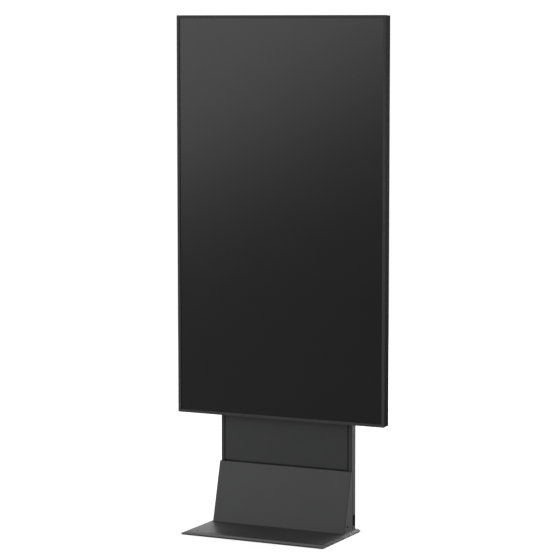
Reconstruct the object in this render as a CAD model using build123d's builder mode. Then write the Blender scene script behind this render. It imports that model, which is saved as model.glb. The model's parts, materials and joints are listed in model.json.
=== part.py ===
from build123d import *
import math
import os

# A free-standing touchscreen kiosk: a 65-inch touch display, hung upright on a slim folded
# steel column that stands on a flat base plate. A sloped cover closes the foot of the column.
# X is to the right seen from the front, the front faces -Y, and Z is up. The origin is on the
# floor, in the middle of the base plate. All lengths are in millimetres.

os.makedirs("parts", exist_ok=True)

# ---- driving dimensions -----------------------------------------------------------------

# display
screen_width = 803.5          # visible picture, upright
screen_height = 1428.5
bezel_face = 11.25            # width of the frame's front face
display_depth = 40.3
display_bottom = 403.8        # height of the display's lower edge above the floor
hang_gap = 13.6               # between the display's rear and the column, for the hooks

# column
column_width = 526.4
column_depth = 36.6
column_front = 121.0
column_above_middle = 300.0   # column's top above the middle of the display
column_sheet = 2.0            # folded uprights
fold_radius = 4.5             # outside radius of the uprights' corners
strip_width = 13.0            # front strip that each upright shows
strip_fold_radius = 3.0
groove_width = 4.5            # shadow groove between strip and front panel

# base
base_width = 562.5
base_depth = 322.2
base_plate_thickness = 8.0
bevel_drop = 5.0
bevel_run = 11.0
pad_height = 2.4

# foot cover
cover_sheet = 1.5
cover_height = 215.2          # above the base plate
cover_proud_top = 8.5         # how far it stands in front of the column
cover_proud_bottom = 66.0
shadow_gap = 5.4              # open joint between the cover and the front panel

# ---- derived levels ---------------------------------------------------------------------

display_width = screen_width + 2 * bezel_face
display_height = screen_height + 2 * bezel_face
display_rear = column_front - hang_gap
display_front = display_rear - display_depth
display_middle = display_bottom + display_height / 2

column_half = column_width / 2
column_rear = column_front + column_depth
column_top = display_middle + column_above_middle

plate_top = pad_height + base_plate_thickness
cover_top = plate_top + cover_height


def facing(depth):
    """A plane across the kiosk at this depth. Its axes are X and Z, and it looks to the front."""
    return Plane.XZ.offset(-depth)


def slab(width, height, front, thickness, x=0.0, z=0.0, mode=Mode.ADD):
    """A rectangular block in the part being built, from its front face towards the rear."""
    with BuildSketch(facing(front)) as outline:
        with Locations((x, z)):
            Rectangle(width, height)
    extrude(outline.sketch, amount=-thickness, mode=mode)


def discs(places, radius, front, thickness, mode=Mode.ADD):
    """Round blocks, or holes, at the given (x, z) places, from front to rear."""
    with BuildSketch(facing(front)) as outline:
        with Locations(*places):
            Circle(radius)
    extrude(outline.sketch, amount=-thickness, mode=mode)


def hexagons(places, across_flats, front, thickness, mode=Mode.ADD):
    """Hexagon blocks at the given (x, z) places, from front to rear."""
    with BuildSketch(facing(front)) as outline:
        with Locations(*places):
            RegularPolygon(across_flats / 2, 6, major_radius=False)
    extrude(outline.sketch, amount=-thickness, mode=mode)


def corners(spacing_x, spacing_z, z):
    """The four corners of a rectangle about the kiosk's middle plane, as (x, z) places."""
    return [(i * spacing_x / 2, z + j * spacing_z / 2) for i in (-1, 1) for j in (-1, 1)]


def save(piece, name):
    """Labels a finished piece and writes its file."""
    piece.part.label = name
    export_step(piece.part, f"parts/{name}.step")


# ---- base plate and pads ----------------------------------------------------------------

anchor_radius = 4.5
anchor_x = 234.0
anchor_from_front = 39.0
anchor_front_y = -base_depth / 2 + anchor_from_front
base_lip_top = plate_top - bevel_drop

# screws from below hold the uprights' foot plates
foot_plate_thickness = 6.0
foot_plate_width = 28.0
foot_plate_gap = 0.4          # between a foot plate and the pieces above it
foot_plate_depth = column_depth - 2 * column_sheet
foot_plate_x = column_half - column_sheet - foot_plate_width / 2
foot_plate_y = column_front + column_depth / 2
foot_screw_radius = 4.0
foot_screw_head_radius = 7.5
foot_screw_spacing = 18.0
foot_screw_short = 0.5        # the screws end this far inside the foot plates
foot_screw_reach = plate_top + foot_plate_thickness - foot_screw_short
screw_clearance = 0.3         # radial, where a screw passes through without thread
thread_fit = 0.05             # radial, between a screw and its thread
foot_screw_places = [
    (side * foot_plate_x, foot_plate_y + end * foot_screw_spacing / 2)
    for side in (-1, 1)
    for end in (-1, 1)
]

# threaded holes for the foot brackets and the cover's brackets
bolt_radius = 4.0
bolt_head_height = 5.3
bolt_head_flats = 13.0
bracket_sheet = 5.0
bracket_width = 80.0
bracket_inset = 73.2          # from the column's side to the middle of each foot bracket
bracket_x = column_half - bracket_inset
bracket_bolt_spread = 40.0
web_sheet = 4.0               # upright plate behind the foot cover
panel_depth = 14.0            # front panel's folded edges
web_rear = column_front + panel_depth
web_front = web_rear - web_sheet
cover_fit = 0.1               # between the cover's sides and the uprights
cover_half = column_half + cover_fit + cover_sheet
cover_bottom_y = column_front - cover_proud_bottom
cover_top_y = column_front - cover_proud_top
cover_slope = math.atan2(cover_top_y - cover_bottom_y, cover_height)
bracket_bolt_y = (web_front + cover_bottom_y) / 2
bracket_bolt_x = [
    side * bracket_x + end * bracket_bolt_spread / 2 for side in (-1, 1) for end in (-1, 1)
]

with BuildPart() as base_plate:
    with BuildSketch(Plane.XY.offset(pad_height)):
        Rectangle(base_width, base_depth)
    extrude(amount=base_lip_top - pad_height)
    # the bevel runs round the front and both sides, and the rear edge is square
    with BuildSketch(Plane.XY.offset(base_lip_top)):
        Rectangle(base_width, base_depth)
    with BuildSketch(Plane.XY.offset(plate_top)):
        with Locations((0, bevel_run / 2)):
            Rectangle(base_width - 2 * bevel_run, base_depth - bevel_run)
    loft()
    with Locations((0, anchor_front_y, plate_top)):
        with GridLocations(2 * anchor_x, 0, 2, 1):
            Hole(anchor_radius)
    with BuildSketch(Plane.XY.offset(pad_height)):
        with Locations(*foot_screw_places):
            Circle(foot_screw_radius + screw_clearance)
        with Locations(*[(x, bracket_bolt_y) for x in bracket_bolt_x]):
            Circle(bolt_radius)
    extrude(amount=base_plate_thickness, mode=Mode.SUBTRACT)
    # countersinks in the underside
    with Locations(*[Location((x, y, pad_height), (180, 0, 0)) for x, y in foot_screw_places]):
        CounterSinkHole(
            foot_screw_radius + screw_clearance, foot_screw_head_radius + screw_clearance
        )
save(base_plate, "base_plate")

pad_radius = 20.0
pad_inset_x = 86.0            # clear of the anchor holes and the foot screws
pad_inset_y = 32.0
pad_x = base_width / 2 - pad_inset_x
pad_y = base_depth / 2 - pad_inset_y

with BuildPart() as floor_pads:
    with BuildSketch():
        with GridLocations(pad_x, 2 * pad_y, 3, 2):
            Circle(pad_radius)
    extrude(amount=pad_height)
save(floor_pads, "floor_pads")

with BuildPart() as foot_screws:
    with Locations(*[(x, y, pad_height) for x, y in foot_screw_places]):
        Cone(
            foot_screw_head_radius,
            foot_screw_radius,
            foot_screw_head_radius - foot_screw_radius,
            align=(Align.CENTER, Align.CENTER, Align.MIN),
        )
        Cylinder(
            foot_screw_radius,
            foot_screw_reach - pad_height,
            align=(Align.CENTER, Align.CENTER, Align.MIN),
        )
save(foot_screws, "foot_screws")

# ---- column -----------------------------------------------------------------------------

strip_inner = column_half - strip_width           # inner edge of the front strip
ledge_width = 22.0
front_ledge = column_front + panel_depth          # ledge that the front panel sits on
rear_flange_width = 14.0
rear_panel_depth = 15.0
rear_ledge = column_rear - rear_panel_depth
flange_inner = column_half - rear_flange_width    # inner edge of the rear flange

slot_width = 20.0
slot_height = 42.0
slot_middle_z = 45.0
slot_from_rear = 14.6
slot_y = column_rear - slot_from_rear
trim_wall = 1.2
cut_margin = 1.0              # how far a cut starts and ends outside the sheet

with BuildPart() as column_right_upright:
    # the sheet's visible face in plan, from the front ledge round to the rear ledge
    with BuildSketch(Plane.XY.offset(plate_top)):
        with BuildLine():
            FilletPolyline(
                (strip_inner - ledge_width, front_ledge),
                (strip_inner, front_ledge),
                (strip_inner, column_front),
                (column_half, column_front),
                (column_half, column_rear),
                (flange_inner, column_rear),
                (flange_inner, rear_ledge),
                (flange_inner - ledge_width, rear_ledge),
                radius=[
                    column_sheet / 2,
                    strip_fold_radius,
                    fold_radius,
                    fold_radius,
                    strip_fold_radius,
                    column_sheet / 2,
                ],
            )
            offset(amount=column_sheet, side=Side.LEFT)
        make_face()
    extrude(amount=column_top - plate_top)
    # the ledges stop above the foot plate, which is welded in
    slab(
        strip_width + ledge_width,
        foot_plate_thickness + foot_plate_gap,
        column_front + column_sheet,
        column_depth - 2 * column_sheet,
        x=column_half - column_sheet - (strip_width + ledge_width) / 2,
        z=plate_top + (foot_plate_thickness + foot_plate_gap) / 2,
        mode=Mode.SUBTRACT,
    )
    with BuildSketch(Plane.XY.offset(plate_top)):
        with Locations((foot_plate_x, foot_plate_y)):
            Rectangle(foot_plate_width, foot_plate_depth)
        with Locations(*[place for place in foot_screw_places if place[0] > 0]):
            Circle(foot_screw_radius + thread_fit, mode=Mode.SUBTRACT)
    extrude(amount=foot_plate_thickness)
    # cable slot near the foot, and the window behind it
    with BuildSketch(Plane.YZ.offset(column_half + cut_margin)):
        with Locations((slot_y, slot_middle_z)):
            SlotOverall(slot_height, slot_width, rotation=90)
    extrude(amount=-(column_sheet + 2 * cut_margin), mode=Mode.SUBTRACT)
    slab(
        ledge_width + 2 * column_sheet,
        slot_height,
        rear_ledge - 2 * column_sheet,
        rear_panel_depth - column_sheet,
        x=flange_inner + column_sheet - ledge_width / 2,
        z=slot_middle_z,
        mode=Mode.SUBTRACT,
    )
save(column_right_upright, "column_right_upright")

with BuildPart() as column_left_upright:
    mirror(column_right_upright.part, about=Plane.YZ)
save(column_left_upright, "column_left_upright")

panel_sheet = 1.5
panel_half = strip_inner - groove_width
panel_bottom = cover_top + shadow_gap
panel_height = column_top - panel_bottom
panel_fold_radius = 2.0
cable_hole_radius = 28.0
panel_cable_place = (0.0, 855.0)

# cross members: folded channels, welded to the uprights' ledges behind the front panel
member_sheet = 2.5
member_height = 60.0
member_gap = 1.0
member_half = panel_half - panel_sheet - member_gap
member_front = column_front + panel_sheet
member_rear = front_ledge
door_top = 760.0
door_member_rise = 10.0       # middle of the member behind the door's head
rail_offset = 200.0           # mount rails above and below the display's middle
member_heights = {
    "foot": panel_bottom + panel_sheet + member_gap + member_height / 2,
    "door": door_top + door_member_rise,
    "lower_rail": display_middle - rail_offset,
    "upper_rail": display_middle + rail_offset,
}

rail_inset = 33.2             # from the column's sides to the mount rails' ends
rail_width = 2 * (column_half - rail_inset)
rail_height = 60.0
rail_bolt_end = 20.0          # from a rail's end to its outer bolt
rail_bolt_columns = 4
rail_bolt_pitch = (rail_width - 2 * rail_bolt_end) / (rail_bolt_columns - 1)
rail_bolt_x = [
    (i - (rail_bolt_columns - 1) / 2) * rail_bolt_pitch for i in range(rail_bolt_columns)
]
rail_heights = [member_heights["lower_rail"], member_heights["upper_rail"]]
rail_bolt_places = [(x, z) for z in rail_heights for x in rail_bolt_x]

with BuildPart() as column_front_panel:
    slab(
        2 * panel_half, panel_height, column_front, panel_depth, z=panel_bottom + panel_height / 2
    )
    fillet(
        column_front_panel.faces().sort_by(Axis.Y)[0].edges().filter_by(Axis.Z),
        radius=panel_fold_radius,
    )
    offset(amount=-panel_sheet, openings=column_front_panel.faces().sort_by(Axis.Y)[-1])
    discs([panel_cable_place], cable_hole_radius, column_front, panel_sheet, mode=Mode.SUBTRACT)
    discs(
        rail_bolt_places,
        bolt_radius + screw_clearance,
        column_front,
        panel_sheet,
        mode=Mode.SUBTRACT,
    )
save(column_front_panel, "column_front_panel")

with BuildPart() as cross_members:
    for place, height in member_heights.items():
        slab(2 * member_half, member_height, member_front, member_rear - member_front, z=height)
        slab(
            2 * (member_half - member_sheet),
            member_height - 2 * member_sheet,
            member_front + member_sheet,
            member_rear - member_front - member_sheet,
            z=height,
            mode=Mode.SUBTRACT,
        )
        if place.endswith("rail"):
            discs(
                [(x, height) for x in rail_bolt_x],
                bolt_radius + screw_clearance,
                member_front,
                member_sheet,
                mode=Mode.SUBTRACT,
            )
save(cross_members, "cross_members")

# ---- foot: web plate, brackets and cover ------------------------------------------------

web_gap = 1.0
web_half = strip_inner - web_gap
web_bottom = plate_top + foot_plate_thickness + foot_plate_gap
web_top = panel_bottom - web_gap
web_cable_place = (0.0, 150.0)
bracket_drop = 35.6           # from the cover's top to the foot brackets' top
bracket_bolt_drop = 40.0
bracket_top = cover_top - bracket_drop
bracket_bolt_z = bracket_top - bracket_bolt_drop
cover_clearance = 3.0         # between the foot brackets and the cover
nut_height = 6.5

bracket_bolt_places = [(x, bracket_bolt_z) for x in bracket_bolt_x]


def cover_inside(z):
    """Depth of the foot cover's inner face at this height."""
    return cover_bottom_y + (z - plate_top) * math.tan(cover_slope) + cover_sheet / math.cos(
        cover_slope
    )


with BuildPart() as foot_web:
    slab(2 * web_half, web_top - web_bottom, web_front, web_sheet, z=(web_top + web_bottom) / 2)
    discs([web_cable_place], cable_hole_radius, web_front, web_sheet, mode=Mode.SUBTRACT)
    discs(
        bracket_bolt_places,
        bolt_radius + screw_clearance,
        web_front,
        web_sheet,
        mode=Mode.SUBTRACT,
    )
save(foot_web, "foot_web")

bracket_step = plate_top + bracket_sheet
bracket_front = cover_inside(bracket_step) + cover_clearance
bracket_outer = bracket_x + bracket_width / 2

with BuildPart() as foot_brackets:
    with BuildSketch(Plane.YZ.offset(bracket_outer - bracket_width)):
        with BuildLine():
            Polyline(
                (bracket_front, plate_top),
                (web_front, plate_top),
                (web_front, bracket_top),
                (web_front - bracket_sheet, bracket_top),
                (web_front - bracket_sheet, bracket_step),
                (bracket_front, bracket_step),
                close=True,
            )
        make_face()
    extrude(amount=bracket_width)
    # triangular rib on the outer side
    with BuildSketch(Plane.YZ.offset(bracket_outer)):
        with BuildLine():
            Polyline(
                (bracket_front, bracket_step),
                (web_front - bracket_sheet, bracket_step),
                (web_front - bracket_sheet, bracket_top),
                (cover_inside(bracket_top) + cover_clearance, bracket_top),
                close=True,
            )
        make_face()
    extrude(amount=-bracket_sheet)
    with BuildSketch(Plane.XY.offset(plate_top)):
        with Locations(*[(x, bracket_bolt_y) for x in bracket_bolt_x if x > 0]):
            Circle(bolt_radius + screw_clearance)
    extrude(amount=bracket_sheet, mode=Mode.SUBTRACT)
    discs(
        [place for place in bracket_bolt_places if place[0] > 0],
        bolt_radius + screw_clearance,
        web_front - bracket_sheet,
        bracket_sheet,
        mode=Mode.SUBTRACT,
    )
    mirror(about=Plane.YZ)
save(foot_brackets, "foot_brackets")

bracket_bolt_head = web_front - bracket_sheet - bolt_head_height
with BuildPart() as foot_bracket_bolts:
    hexagons(bracket_bolt_places, bolt_head_flats, bracket_bolt_head, bolt_head_height)
    discs(
        bracket_bolt_places,
        bolt_radius - thread_fit,
        bracket_bolt_head,
        bolt_head_height + bracket_sheet + web_sheet + nut_height,
    )
    with BuildSketch(Plane.XY.offset(bracket_step)):
        with Locations(*[(x, bracket_bolt_y) for x in bracket_bolt_x]):
            RegularPolygon(bolt_head_flats / 2, 6, major_radius=False)
    extrude(amount=bolt_head_height)
    with BuildSketch(Plane.XY.offset(bracket_step)):
        with Locations(*[(x, bracket_bolt_y) for x in bracket_bolt_x]):
            Circle(bolt_radius - thread_fit)
    extrude(amount=pad_height - bracket_step)
save(foot_bracket_bolts, "foot_bracket_bolts")

cover_lap = 4.5               # how far the cover's sides reach past the uprights' front
cover_rear_gap = 0.6          # between the cover's top flange and the uprights
cover_corner_radius = 2.5
cover_screw_radius = 3.0
cover_screw_head_radius = 5.2
cover_screw_head = 2.6
cover_screw_taper = 30        # degrees, of the head's side
cover_screw_y = 86.0
cover_screw_z = 33.0
cover_rear = column_front - cover_rear_gap
lap_width = column_front + cover_lap - cover_rear
lap_middle_y = cover_rear + lap_width / 2

with BuildPart() as foot_cover:
    with BuildSketch(Plane.YZ):
        with BuildLine():
            Polyline(
                (cover_bottom_y, plate_top),
                (cover_rear, plate_top),
                (cover_rear, cover_top),
                (cover_top_y, cover_top),
                close=True,
            )
        make_face()
    extrude(amount=cover_half, both=True)
    slope = foot_cover.faces().filter_by(Axis.X, reverse=True).sort_by(Axis.Y)[0]
    fillet(slope.edges().filter_by(Axis.X, reverse=True), radius=cover_corner_radius)
    with BuildSketch(Plane.YZ):
        with BuildLine():
            Polyline(
                (cover_inside(plate_top), plate_top),
                (cover_rear, plate_top),
                (cover_rear, cover_top - cover_sheet),
                (cover_inside(cover_top - cover_sheet), cover_top - cover_sheet),
                close=True,
            )
        make_face()
    extrude(amount=cover_half - cover_sheet, both=True, mode=Mode.SUBTRACT)
    # side laps beside the uprights
    for side in (-1, 1):
        with BuildSketch(Plane.YZ.offset(side * cover_half)):
            with Locations((lap_middle_y, plate_top + cover_height / 2)):
                Rectangle(lap_width, cover_height)
        extrude(amount=-side * cover_sheet)
    with BuildSketch(Plane.YZ.offset(-cover_half)):
        with Locations((cover_screw_y, cover_screw_z)):
            Circle(cover_screw_radius + screw_clearance)
    extrude(amount=2 * cover_half, mode=Mode.SUBTRACT)
save(foot_cover, "foot_cover")

tab_sheet = 3.0
tab_depth = 30.0
tab_height = 36.0
tab_foot = 24.0
tab_outer = cover_half - cover_sheet

with BuildPart() as cover_tabs:
    for side in (-1, 1):
        with BuildSketch(Plane.XZ.offset(-cover_screw_y)):
            with BuildLine():
                Polyline(
                    (side * tab_outer, plate_top),
                    (side * tab_outer, plate_top + tab_height),
                    (side * (tab_outer - tab_sheet), plate_top + tab_height),
                    (side * (tab_outer - tab_sheet), plate_top + tab_sheet),
                    (side * (tab_outer - tab_foot), plate_top + tab_sheet),
                    (side * (tab_outer - tab_foot), plate_top),
                    close=True,
                )
            make_face()
        extrude(amount=tab_depth / 2, both=True)
    with BuildSketch(Plane.YZ.offset(-cover_half)):
        with Locations((cover_screw_y, cover_screw_z)):
            Circle(cover_screw_radius)
    extrude(amount=2 * cover_half, mode=Mode.SUBTRACT)
save(cover_tabs, "cover_tabs")

socket_flats = 3.2
socket_depth = 1.6
with BuildPart() as cover_screws:
    for side in (-1, 1):
        with BuildSketch(Plane.YZ.offset(side * cover_half)):
            with Locations((cover_screw_y, cover_screw_z)):
                Circle(cover_screw_head_radius)
        extrude(amount=side * cover_screw_head, taper=cover_screw_taper)
        with BuildSketch(Plane.YZ.offset(side * cover_half)):
            with Locations((cover_screw_y, cover_screw_z)):
                Circle(cover_screw_radius - thread_fit)
        extrude(amount=-side * (cover_sheet + tab_sheet + 2 * thread_fit))
        with BuildSketch(Plane.YZ.offset(side * (cover_half + cover_screw_head))):
            with Locations((cover_screw_y, cover_screw_z)):
                RegularPolygon(socket_flats / 2, 6, major_radius=False)
        extrude(amount=-side * socket_depth, mode=Mode.SUBTRACT)
save(cover_screws, "cover_screws")

# ---- cable slot trims and grommets ------------------------------------------------------

trim_flange = 2.0
trim_fit = 0.3
with BuildPart() as slot_trims:
    with BuildSketch(Plane.YZ.offset(column_half)):
        with Locations((slot_y, slot_middle_z)):
            SlotOverall(slot_height - 2 * trim_fit, slot_width - 2 * trim_fit, rotation=90)
    extrude(amount=-(column_sheet + trim_wall))
    with BuildSketch(Plane.YZ.offset(column_half - column_sheet)):
        with Locations((slot_y, slot_middle_z)):
            SlotOverall(slot_height + 2 * trim_flange, slot_width - 2 * trim_fit, rotation=90)
    extrude(amount=-trim_wall)
    with BuildSketch(Plane.YZ.offset(column_half)):
        with Locations((slot_y, slot_middle_z)):
            SlotOverall(
                slot_height - 2 * (trim_fit + trim_wall),
                slot_width - 2 * (trim_fit + trim_wall),
                rotation=90,
            )
    extrude(amount=-(column_sheet + trim_wall), mode=Mode.SUBTRACT)
    mirror(about=Plane.YZ)
save(slot_trims, "slot_trims")

grommet_wall = 2.5
grommet_flange = 4.0
grommet_lip = 1.5
with BuildPart() as cable_grommets:
    for place, front, sheet in (
        (panel_cable_place, column_front, panel_sheet),
        (web_cable_place, web_front, web_sheet),
    ):
        for lip_front in (front - grommet_lip, front + sheet):
            discs([place], cable_hole_radius + grommet_flange, lip_front, grommet_lip)
        discs([place], cable_hole_radius - trim_fit, front, sheet)
        discs(
            [place],
            cable_hole_radius - trim_fit - grommet_wall,
            front - grommet_lip,
            sheet + 2 * grommet_lip,
            mode=Mode.SUBTRACT,
        )
save(cable_grommets, "cable_grommets")

# ---- rear of the column: panel, door, sill and header -----------------------------------

door_sheet = 1.5
door_depth = 12.0
door_gap = 1.5
hinge_gap = 3.2               # between the door's hinge edge and the flange
sill_height = 12.0
frame_sheet = 2.0
frame_gap = 1.2               # between the fixed rear pieces and the uprights' flanges
frame_half = flange_inner - frame_gap
sill_bottom = plate_top + foot_plate_thickness
sill_top = sill_bottom + sill_height
door_bottom = sill_top + door_gap
header_height = 20.0
header_bottom = door_top + door_gap
header_top = header_bottom + header_height
hinge_inset = 6.0             # pivot from the door's edge and from its outer face
door_left = -(flange_inner - hinge_gap)
door_right = flange_inner - door_gap
hinge_x = door_left + hinge_inset
hinge_y = column_rear - hinge_inset
hinge_pin_radius = 3.0
hinge_fit = 0.05
hinge_head_radius = 3.9
hinge_head = 2.0
hinge_pin_reach = 8.0
hinge_collar_radius = 5.5

skirt_gap = 1.0               # between the sill's skirt and the foot plates
skirt_half = foot_plate_x - foot_plate_width / 2 - skirt_gap
with BuildPart() as door_sill:
    slab(
        2 * frame_half,
        sill_height,
        rear_ledge,
        rear_panel_depth,
        z=sill_bottom + sill_height / 2,
    )
    offset(amount=-frame_sheet, openings=door_sill.faces().sort_by(Axis.Y)[0])
    slab(
        2 * skirt_half,
        foot_plate_thickness,
        column_rear - frame_sheet,
        frame_sheet,
        z=plate_top + foot_plate_thickness / 2,
    )
    with Locations((hinge_x, hinge_y, sill_top - frame_sheet)):
        Cylinder(
            hinge_pin_radius + hinge_fit,
            frame_sheet,
            align=(Align.CENTER, Align.CENTER, Align.MIN),
            mode=Mode.SUBTRACT,
        )
save(door_sill, "door_sill")

with BuildPart() as door_header:
    slab(
        2 * frame_half,
        header_height,
        rear_ledge,
        rear_panel_depth,
        z=header_bottom + header_height / 2,
    )
    offset(amount=-frame_sheet, openings=door_header.faces().sort_by(Axis.Y)[0])
    with Locations((hinge_x, hinge_y, header_bottom)):
        Cylinder(
            hinge_pin_radius + hinge_fit,
            frame_sheet,
            align=(Align.CENTER, Align.CENTER, Align.MIN),
            mode=Mode.SUBTRACT,
        )
save(door_header, "door_header")

with BuildPart() as hinge_pins:
    # the lower pin's collar carries the door
    with BuildSketch(Plane.XY.offset(sill_top)):
        with Locations((hinge_x, hinge_y)):
            Circle(hinge_collar_radius)
    extrude(amount=door_gap)
    with BuildSketch(Plane.XY.offset(sill_top - frame_sheet)):
        with Locations((hinge_x, hinge_y)):
            Circle(hinge_pin_radius)
    extrude(amount=frame_sheet + door_gap + hinge_pin_reach)
    # the upper pin hangs by its head
    with BuildSketch(Plane.XY.offset(header_bottom + frame_sheet)):
        with Locations((hinge_x, hinge_y)):
            Circle(hinge_head_radius)
    extrude(amount=hinge_head)
    with BuildSketch(Plane.XY.offset(header_bottom + frame_sheet)):
        with Locations((hinge_x, hinge_y)):
            Circle(hinge_pin_radius)
    extrude(amount=-(frame_sheet + door_gap + hinge_pin_reach))
save(hinge_pins, "hinge_pins")

lock_inset = 30.0             # from the door's free edge
lock_x = door_right - lock_inset
lock_z = 420.0
lock_housing_radius = 8.0
lock_rim_radius = 10.0
lock_rim = 1.4
lock_reach = 14.6
plug_radius = 6.0
plug_fit = 0.06
lock_nut_flats = 24.0
lock_nut_height = 3.0
lock_fit = 0.3

with BuildPart() as service_door:
    slab(
        door_right - door_left,
        door_top - door_bottom,
        column_rear - door_depth,
        door_depth,
        x=(door_left + door_right) / 2,
        z=(door_bottom + door_top) / 2,
    )
    offset(amount=-door_sheet, openings=service_door.faces().sort_by(Axis.Y)[0])
    with BuildSketch(Plane.XY.offset(door_bottom)):
        with Locations((hinge_x, hinge_y)):
            Circle(hinge_pin_radius + hinge_fit)
    extrude(amount=door_top - door_bottom, mode=Mode.SUBTRACT)
    discs(
        [(lock_x, lock_z)],
        lock_housing_radius + lock_fit,
        column_rear - door_depth,
        door_depth,
        mode=Mode.SUBTRACT,
    )
save(service_door, "service_door")

with BuildPart() as lock_housing:
    discs([(lock_x, lock_z)], lock_rim_radius, column_rear, lock_rim)
    discs([(lock_x, lock_z)], lock_housing_radius, column_rear - lock_reach, lock_reach)
    discs(
        [(lock_x, lock_z)],
        plug_radius + plug_fit,
        column_rear - lock_reach,
        lock_reach + lock_rim,
        mode=Mode.SUBTRACT,
    )
    # nut behind the door's sheet, a piece of its own
    nut_front = column_rear - door_sheet - lock_nut_height
    with BuildSketch(facing(nut_front)):
        with Locations((lock_x, lock_z)):
            RegularPolygon(lock_nut_flats / 2, 6, major_radius=False)
            Circle(lock_housing_radius + thread_fit, mode=Mode.SUBTRACT)
    extrude(amount=-lock_nut_height)
save(lock_housing, "lock_housing")

cam_sheet = 2.5
cam_length = 36.0
cam_width = 14.0
cam_gap = 0.5                 # behind the rear ledge, when the lock is turned
cam_front = rear_ledge - column_sheet - cam_gap - cam_sheet
key_slot_length = 8.0
key_slot_width = 1.6
key_slot_depth = 6.0
cam_screw_radius = 2.0
cam_screw_head_radius = 3.6
cam_screw_head = 1.9
cam_screw_length = 9.0
plug_recess = 0.4

with BuildPart() as lock_plug:
    plug_rear = column_rear + lock_rim - plug_recess
    discs([(lock_x, lock_z)], plug_radius, cam_front + cam_sheet, plug_rear - cam_front - cam_sheet)
    slab(
        key_slot_width,
        key_slot_length,
        plug_rear - key_slot_depth,
        key_slot_depth,
        x=lock_x,
        z=lock_z,
        mode=Mode.SUBTRACT,
    )
    discs(
        [(lock_x, lock_z)],
        cam_screw_radius + thread_fit,
        cam_front + cam_sheet,
        cam_screw_length,
        mode=Mode.SUBTRACT,
    )
save(lock_plug, "lock_plug")

with BuildPart() as lock_cam:
    with BuildSketch(facing(cam_front)):
        with Locations((lock_x, lock_z + (cam_length - cam_width) / 2)):
            SlotOverall(cam_length, cam_width, rotation=90)
        with Locations((lock_x, lock_z)):
            Circle(cam_screw_radius + thread_fit, mode=Mode.SUBTRACT)
    extrude(amount=-cam_sheet)
    # its screw, a piece of its own
    discs([(lock_x, lock_z)], cam_screw_head_radius, cam_front - cam_screw_head, cam_screw_head)
    discs([(lock_x, lock_z)], cam_screw_radius, cam_front, cam_screw_length)
save(lock_cam, "lock_cam")

seal_width = 8.0
seal_gap = 0.1
seal_x = flange_inner - ledge_width / 2
seal_bottom = 90.0
with BuildPart() as door_seal:
    slab(
        seal_width,
        door_top - seal_bottom,
        rear_ledge,
        rear_panel_depth - door_depth - seal_gap,
        x=seal_x,
        z=(door_top + seal_bottom) / 2,
    )
save(door_seal, "door_seal")

rear_panel_bottom = header_top + door_gap
rear_screw_radius = 2.0
rear_screw_head_radius = 4.0
rear_screw_head = 2.2
rear_screw_side = 9.0         # from the flanges
rear_screw_end = 30.0         # from the panel's ends
rear_screw_x = flange_inner - rear_screw_side
rear_screw_places = [
    (side * rear_screw_x, z)
    for side in (-1, 1)
    for z in (rear_panel_bottom + rear_screw_end, column_top - rear_screw_end)
]
with BuildPart() as column_rear_panel:
    slab(
        2 * frame_half,
        column_top - rear_panel_bottom,
        rear_ledge,
        rear_panel_depth,
        z=(column_top + rear_panel_bottom) / 2,
    )
    offset(amount=-door_sheet, openings=column_rear_panel.faces().sort_by(Axis.Y)[0])
    discs(
        rear_screw_places,
        rear_screw_radius + screw_clearance,
        rear_ledge,
        rear_panel_depth,
        mode=Mode.SUBTRACT,
    )
save(column_rear_panel, "column_rear_panel")

with BuildPart() as rear_panel_screws:
    discs(rear_screw_places, rear_screw_head_radius, column_rear, rear_screw_head)
    discs(rear_screw_places, rear_screw_radius, rear_ledge, rear_panel_depth)
save(rear_panel_screws, "rear_panel_screws")

cap_sheet = 2.0
with BuildPart() as column_top_cap:
    with BuildSketch(Plane.XY.offset(column_top)):
        with Locations((0, column_front + column_depth / 2)):
            RectangleRounded(column_width, column_depth, fold_radius)
    extrude(amount=cap_sheet)
save(column_top_cap, "column_top_cap")

# ---- mount rails and the display's hook brackets ----------------------------------------

rail_sheet = 2.5
rail_lip = 8.0                # upturned lip above the rail's shelf
hook_sheet = 2.5
hook_gap = 0.5
hook_drop = 7.0
rail_back = column_front - rail_sheet
hook_leg_front = rail_back - hook_gap - hook_sheet
lip_rear = hook_leg_front - hook_gap
lip_front = lip_rear - rail_sheet
shelf_top = rail_height / 2
lip_top = shelf_top + rail_lip

with BuildPart() as mount_rails:
    for rail_z in rail_heights:
        with BuildSketch(Plane.YZ):
            with BuildLine():
                Polyline(
                    (column_front, rail_z - shelf_top),
                    (column_front, rail_z + shelf_top),
                    (lip_rear, rail_z + shelf_top),
                    (lip_rear, rail_z + lip_top),
                    (lip_front, rail_z + lip_top),
                    (lip_front, rail_z + shelf_top - rail_sheet),
                    (rail_back, rail_z + shelf_top - rail_sheet),
                    (rail_back, rail_z - shelf_top + rail_sheet),
                    (lip_front, rail_z - shelf_top + rail_sheet),
                    (lip_front, rail_z - shelf_top),
                    close=True,
                )
            make_face()
        extrude(amount=rail_width / 2, both=True)
    discs(
        rail_bolt_places,
        bolt_radius + screw_clearance,
        rail_back,
        rail_sheet,
        mode=Mode.SUBTRACT,
    )
save(mount_rails, "mount_rails")

rail_bolt_head = rail_back - bolt_head_height
rail_nut_front = member_front + member_sheet
with BuildPart() as rail_bolts:
    hexagons(rail_bolt_places, bolt_head_flats, rail_bolt_head, bolt_head_height)
    discs(
        rail_bolt_places,
        bolt_radius - thread_fit,
        rail_back,
        rail_nut_front + nut_height - rail_back,
    )
save(rail_bolts, "rail_bolts")

with BuildPart() as hex_nuts:
    for places, front in ((rail_bolt_places, rail_nut_front), (bracket_bolt_places, web_rear)):
        hexagons(places, bolt_head_flats, front, nut_height)
        discs(places, bolt_radius, front, nut_height, mode=Mode.SUBTRACT)
save(hex_nuts, "hex_nuts")

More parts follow.
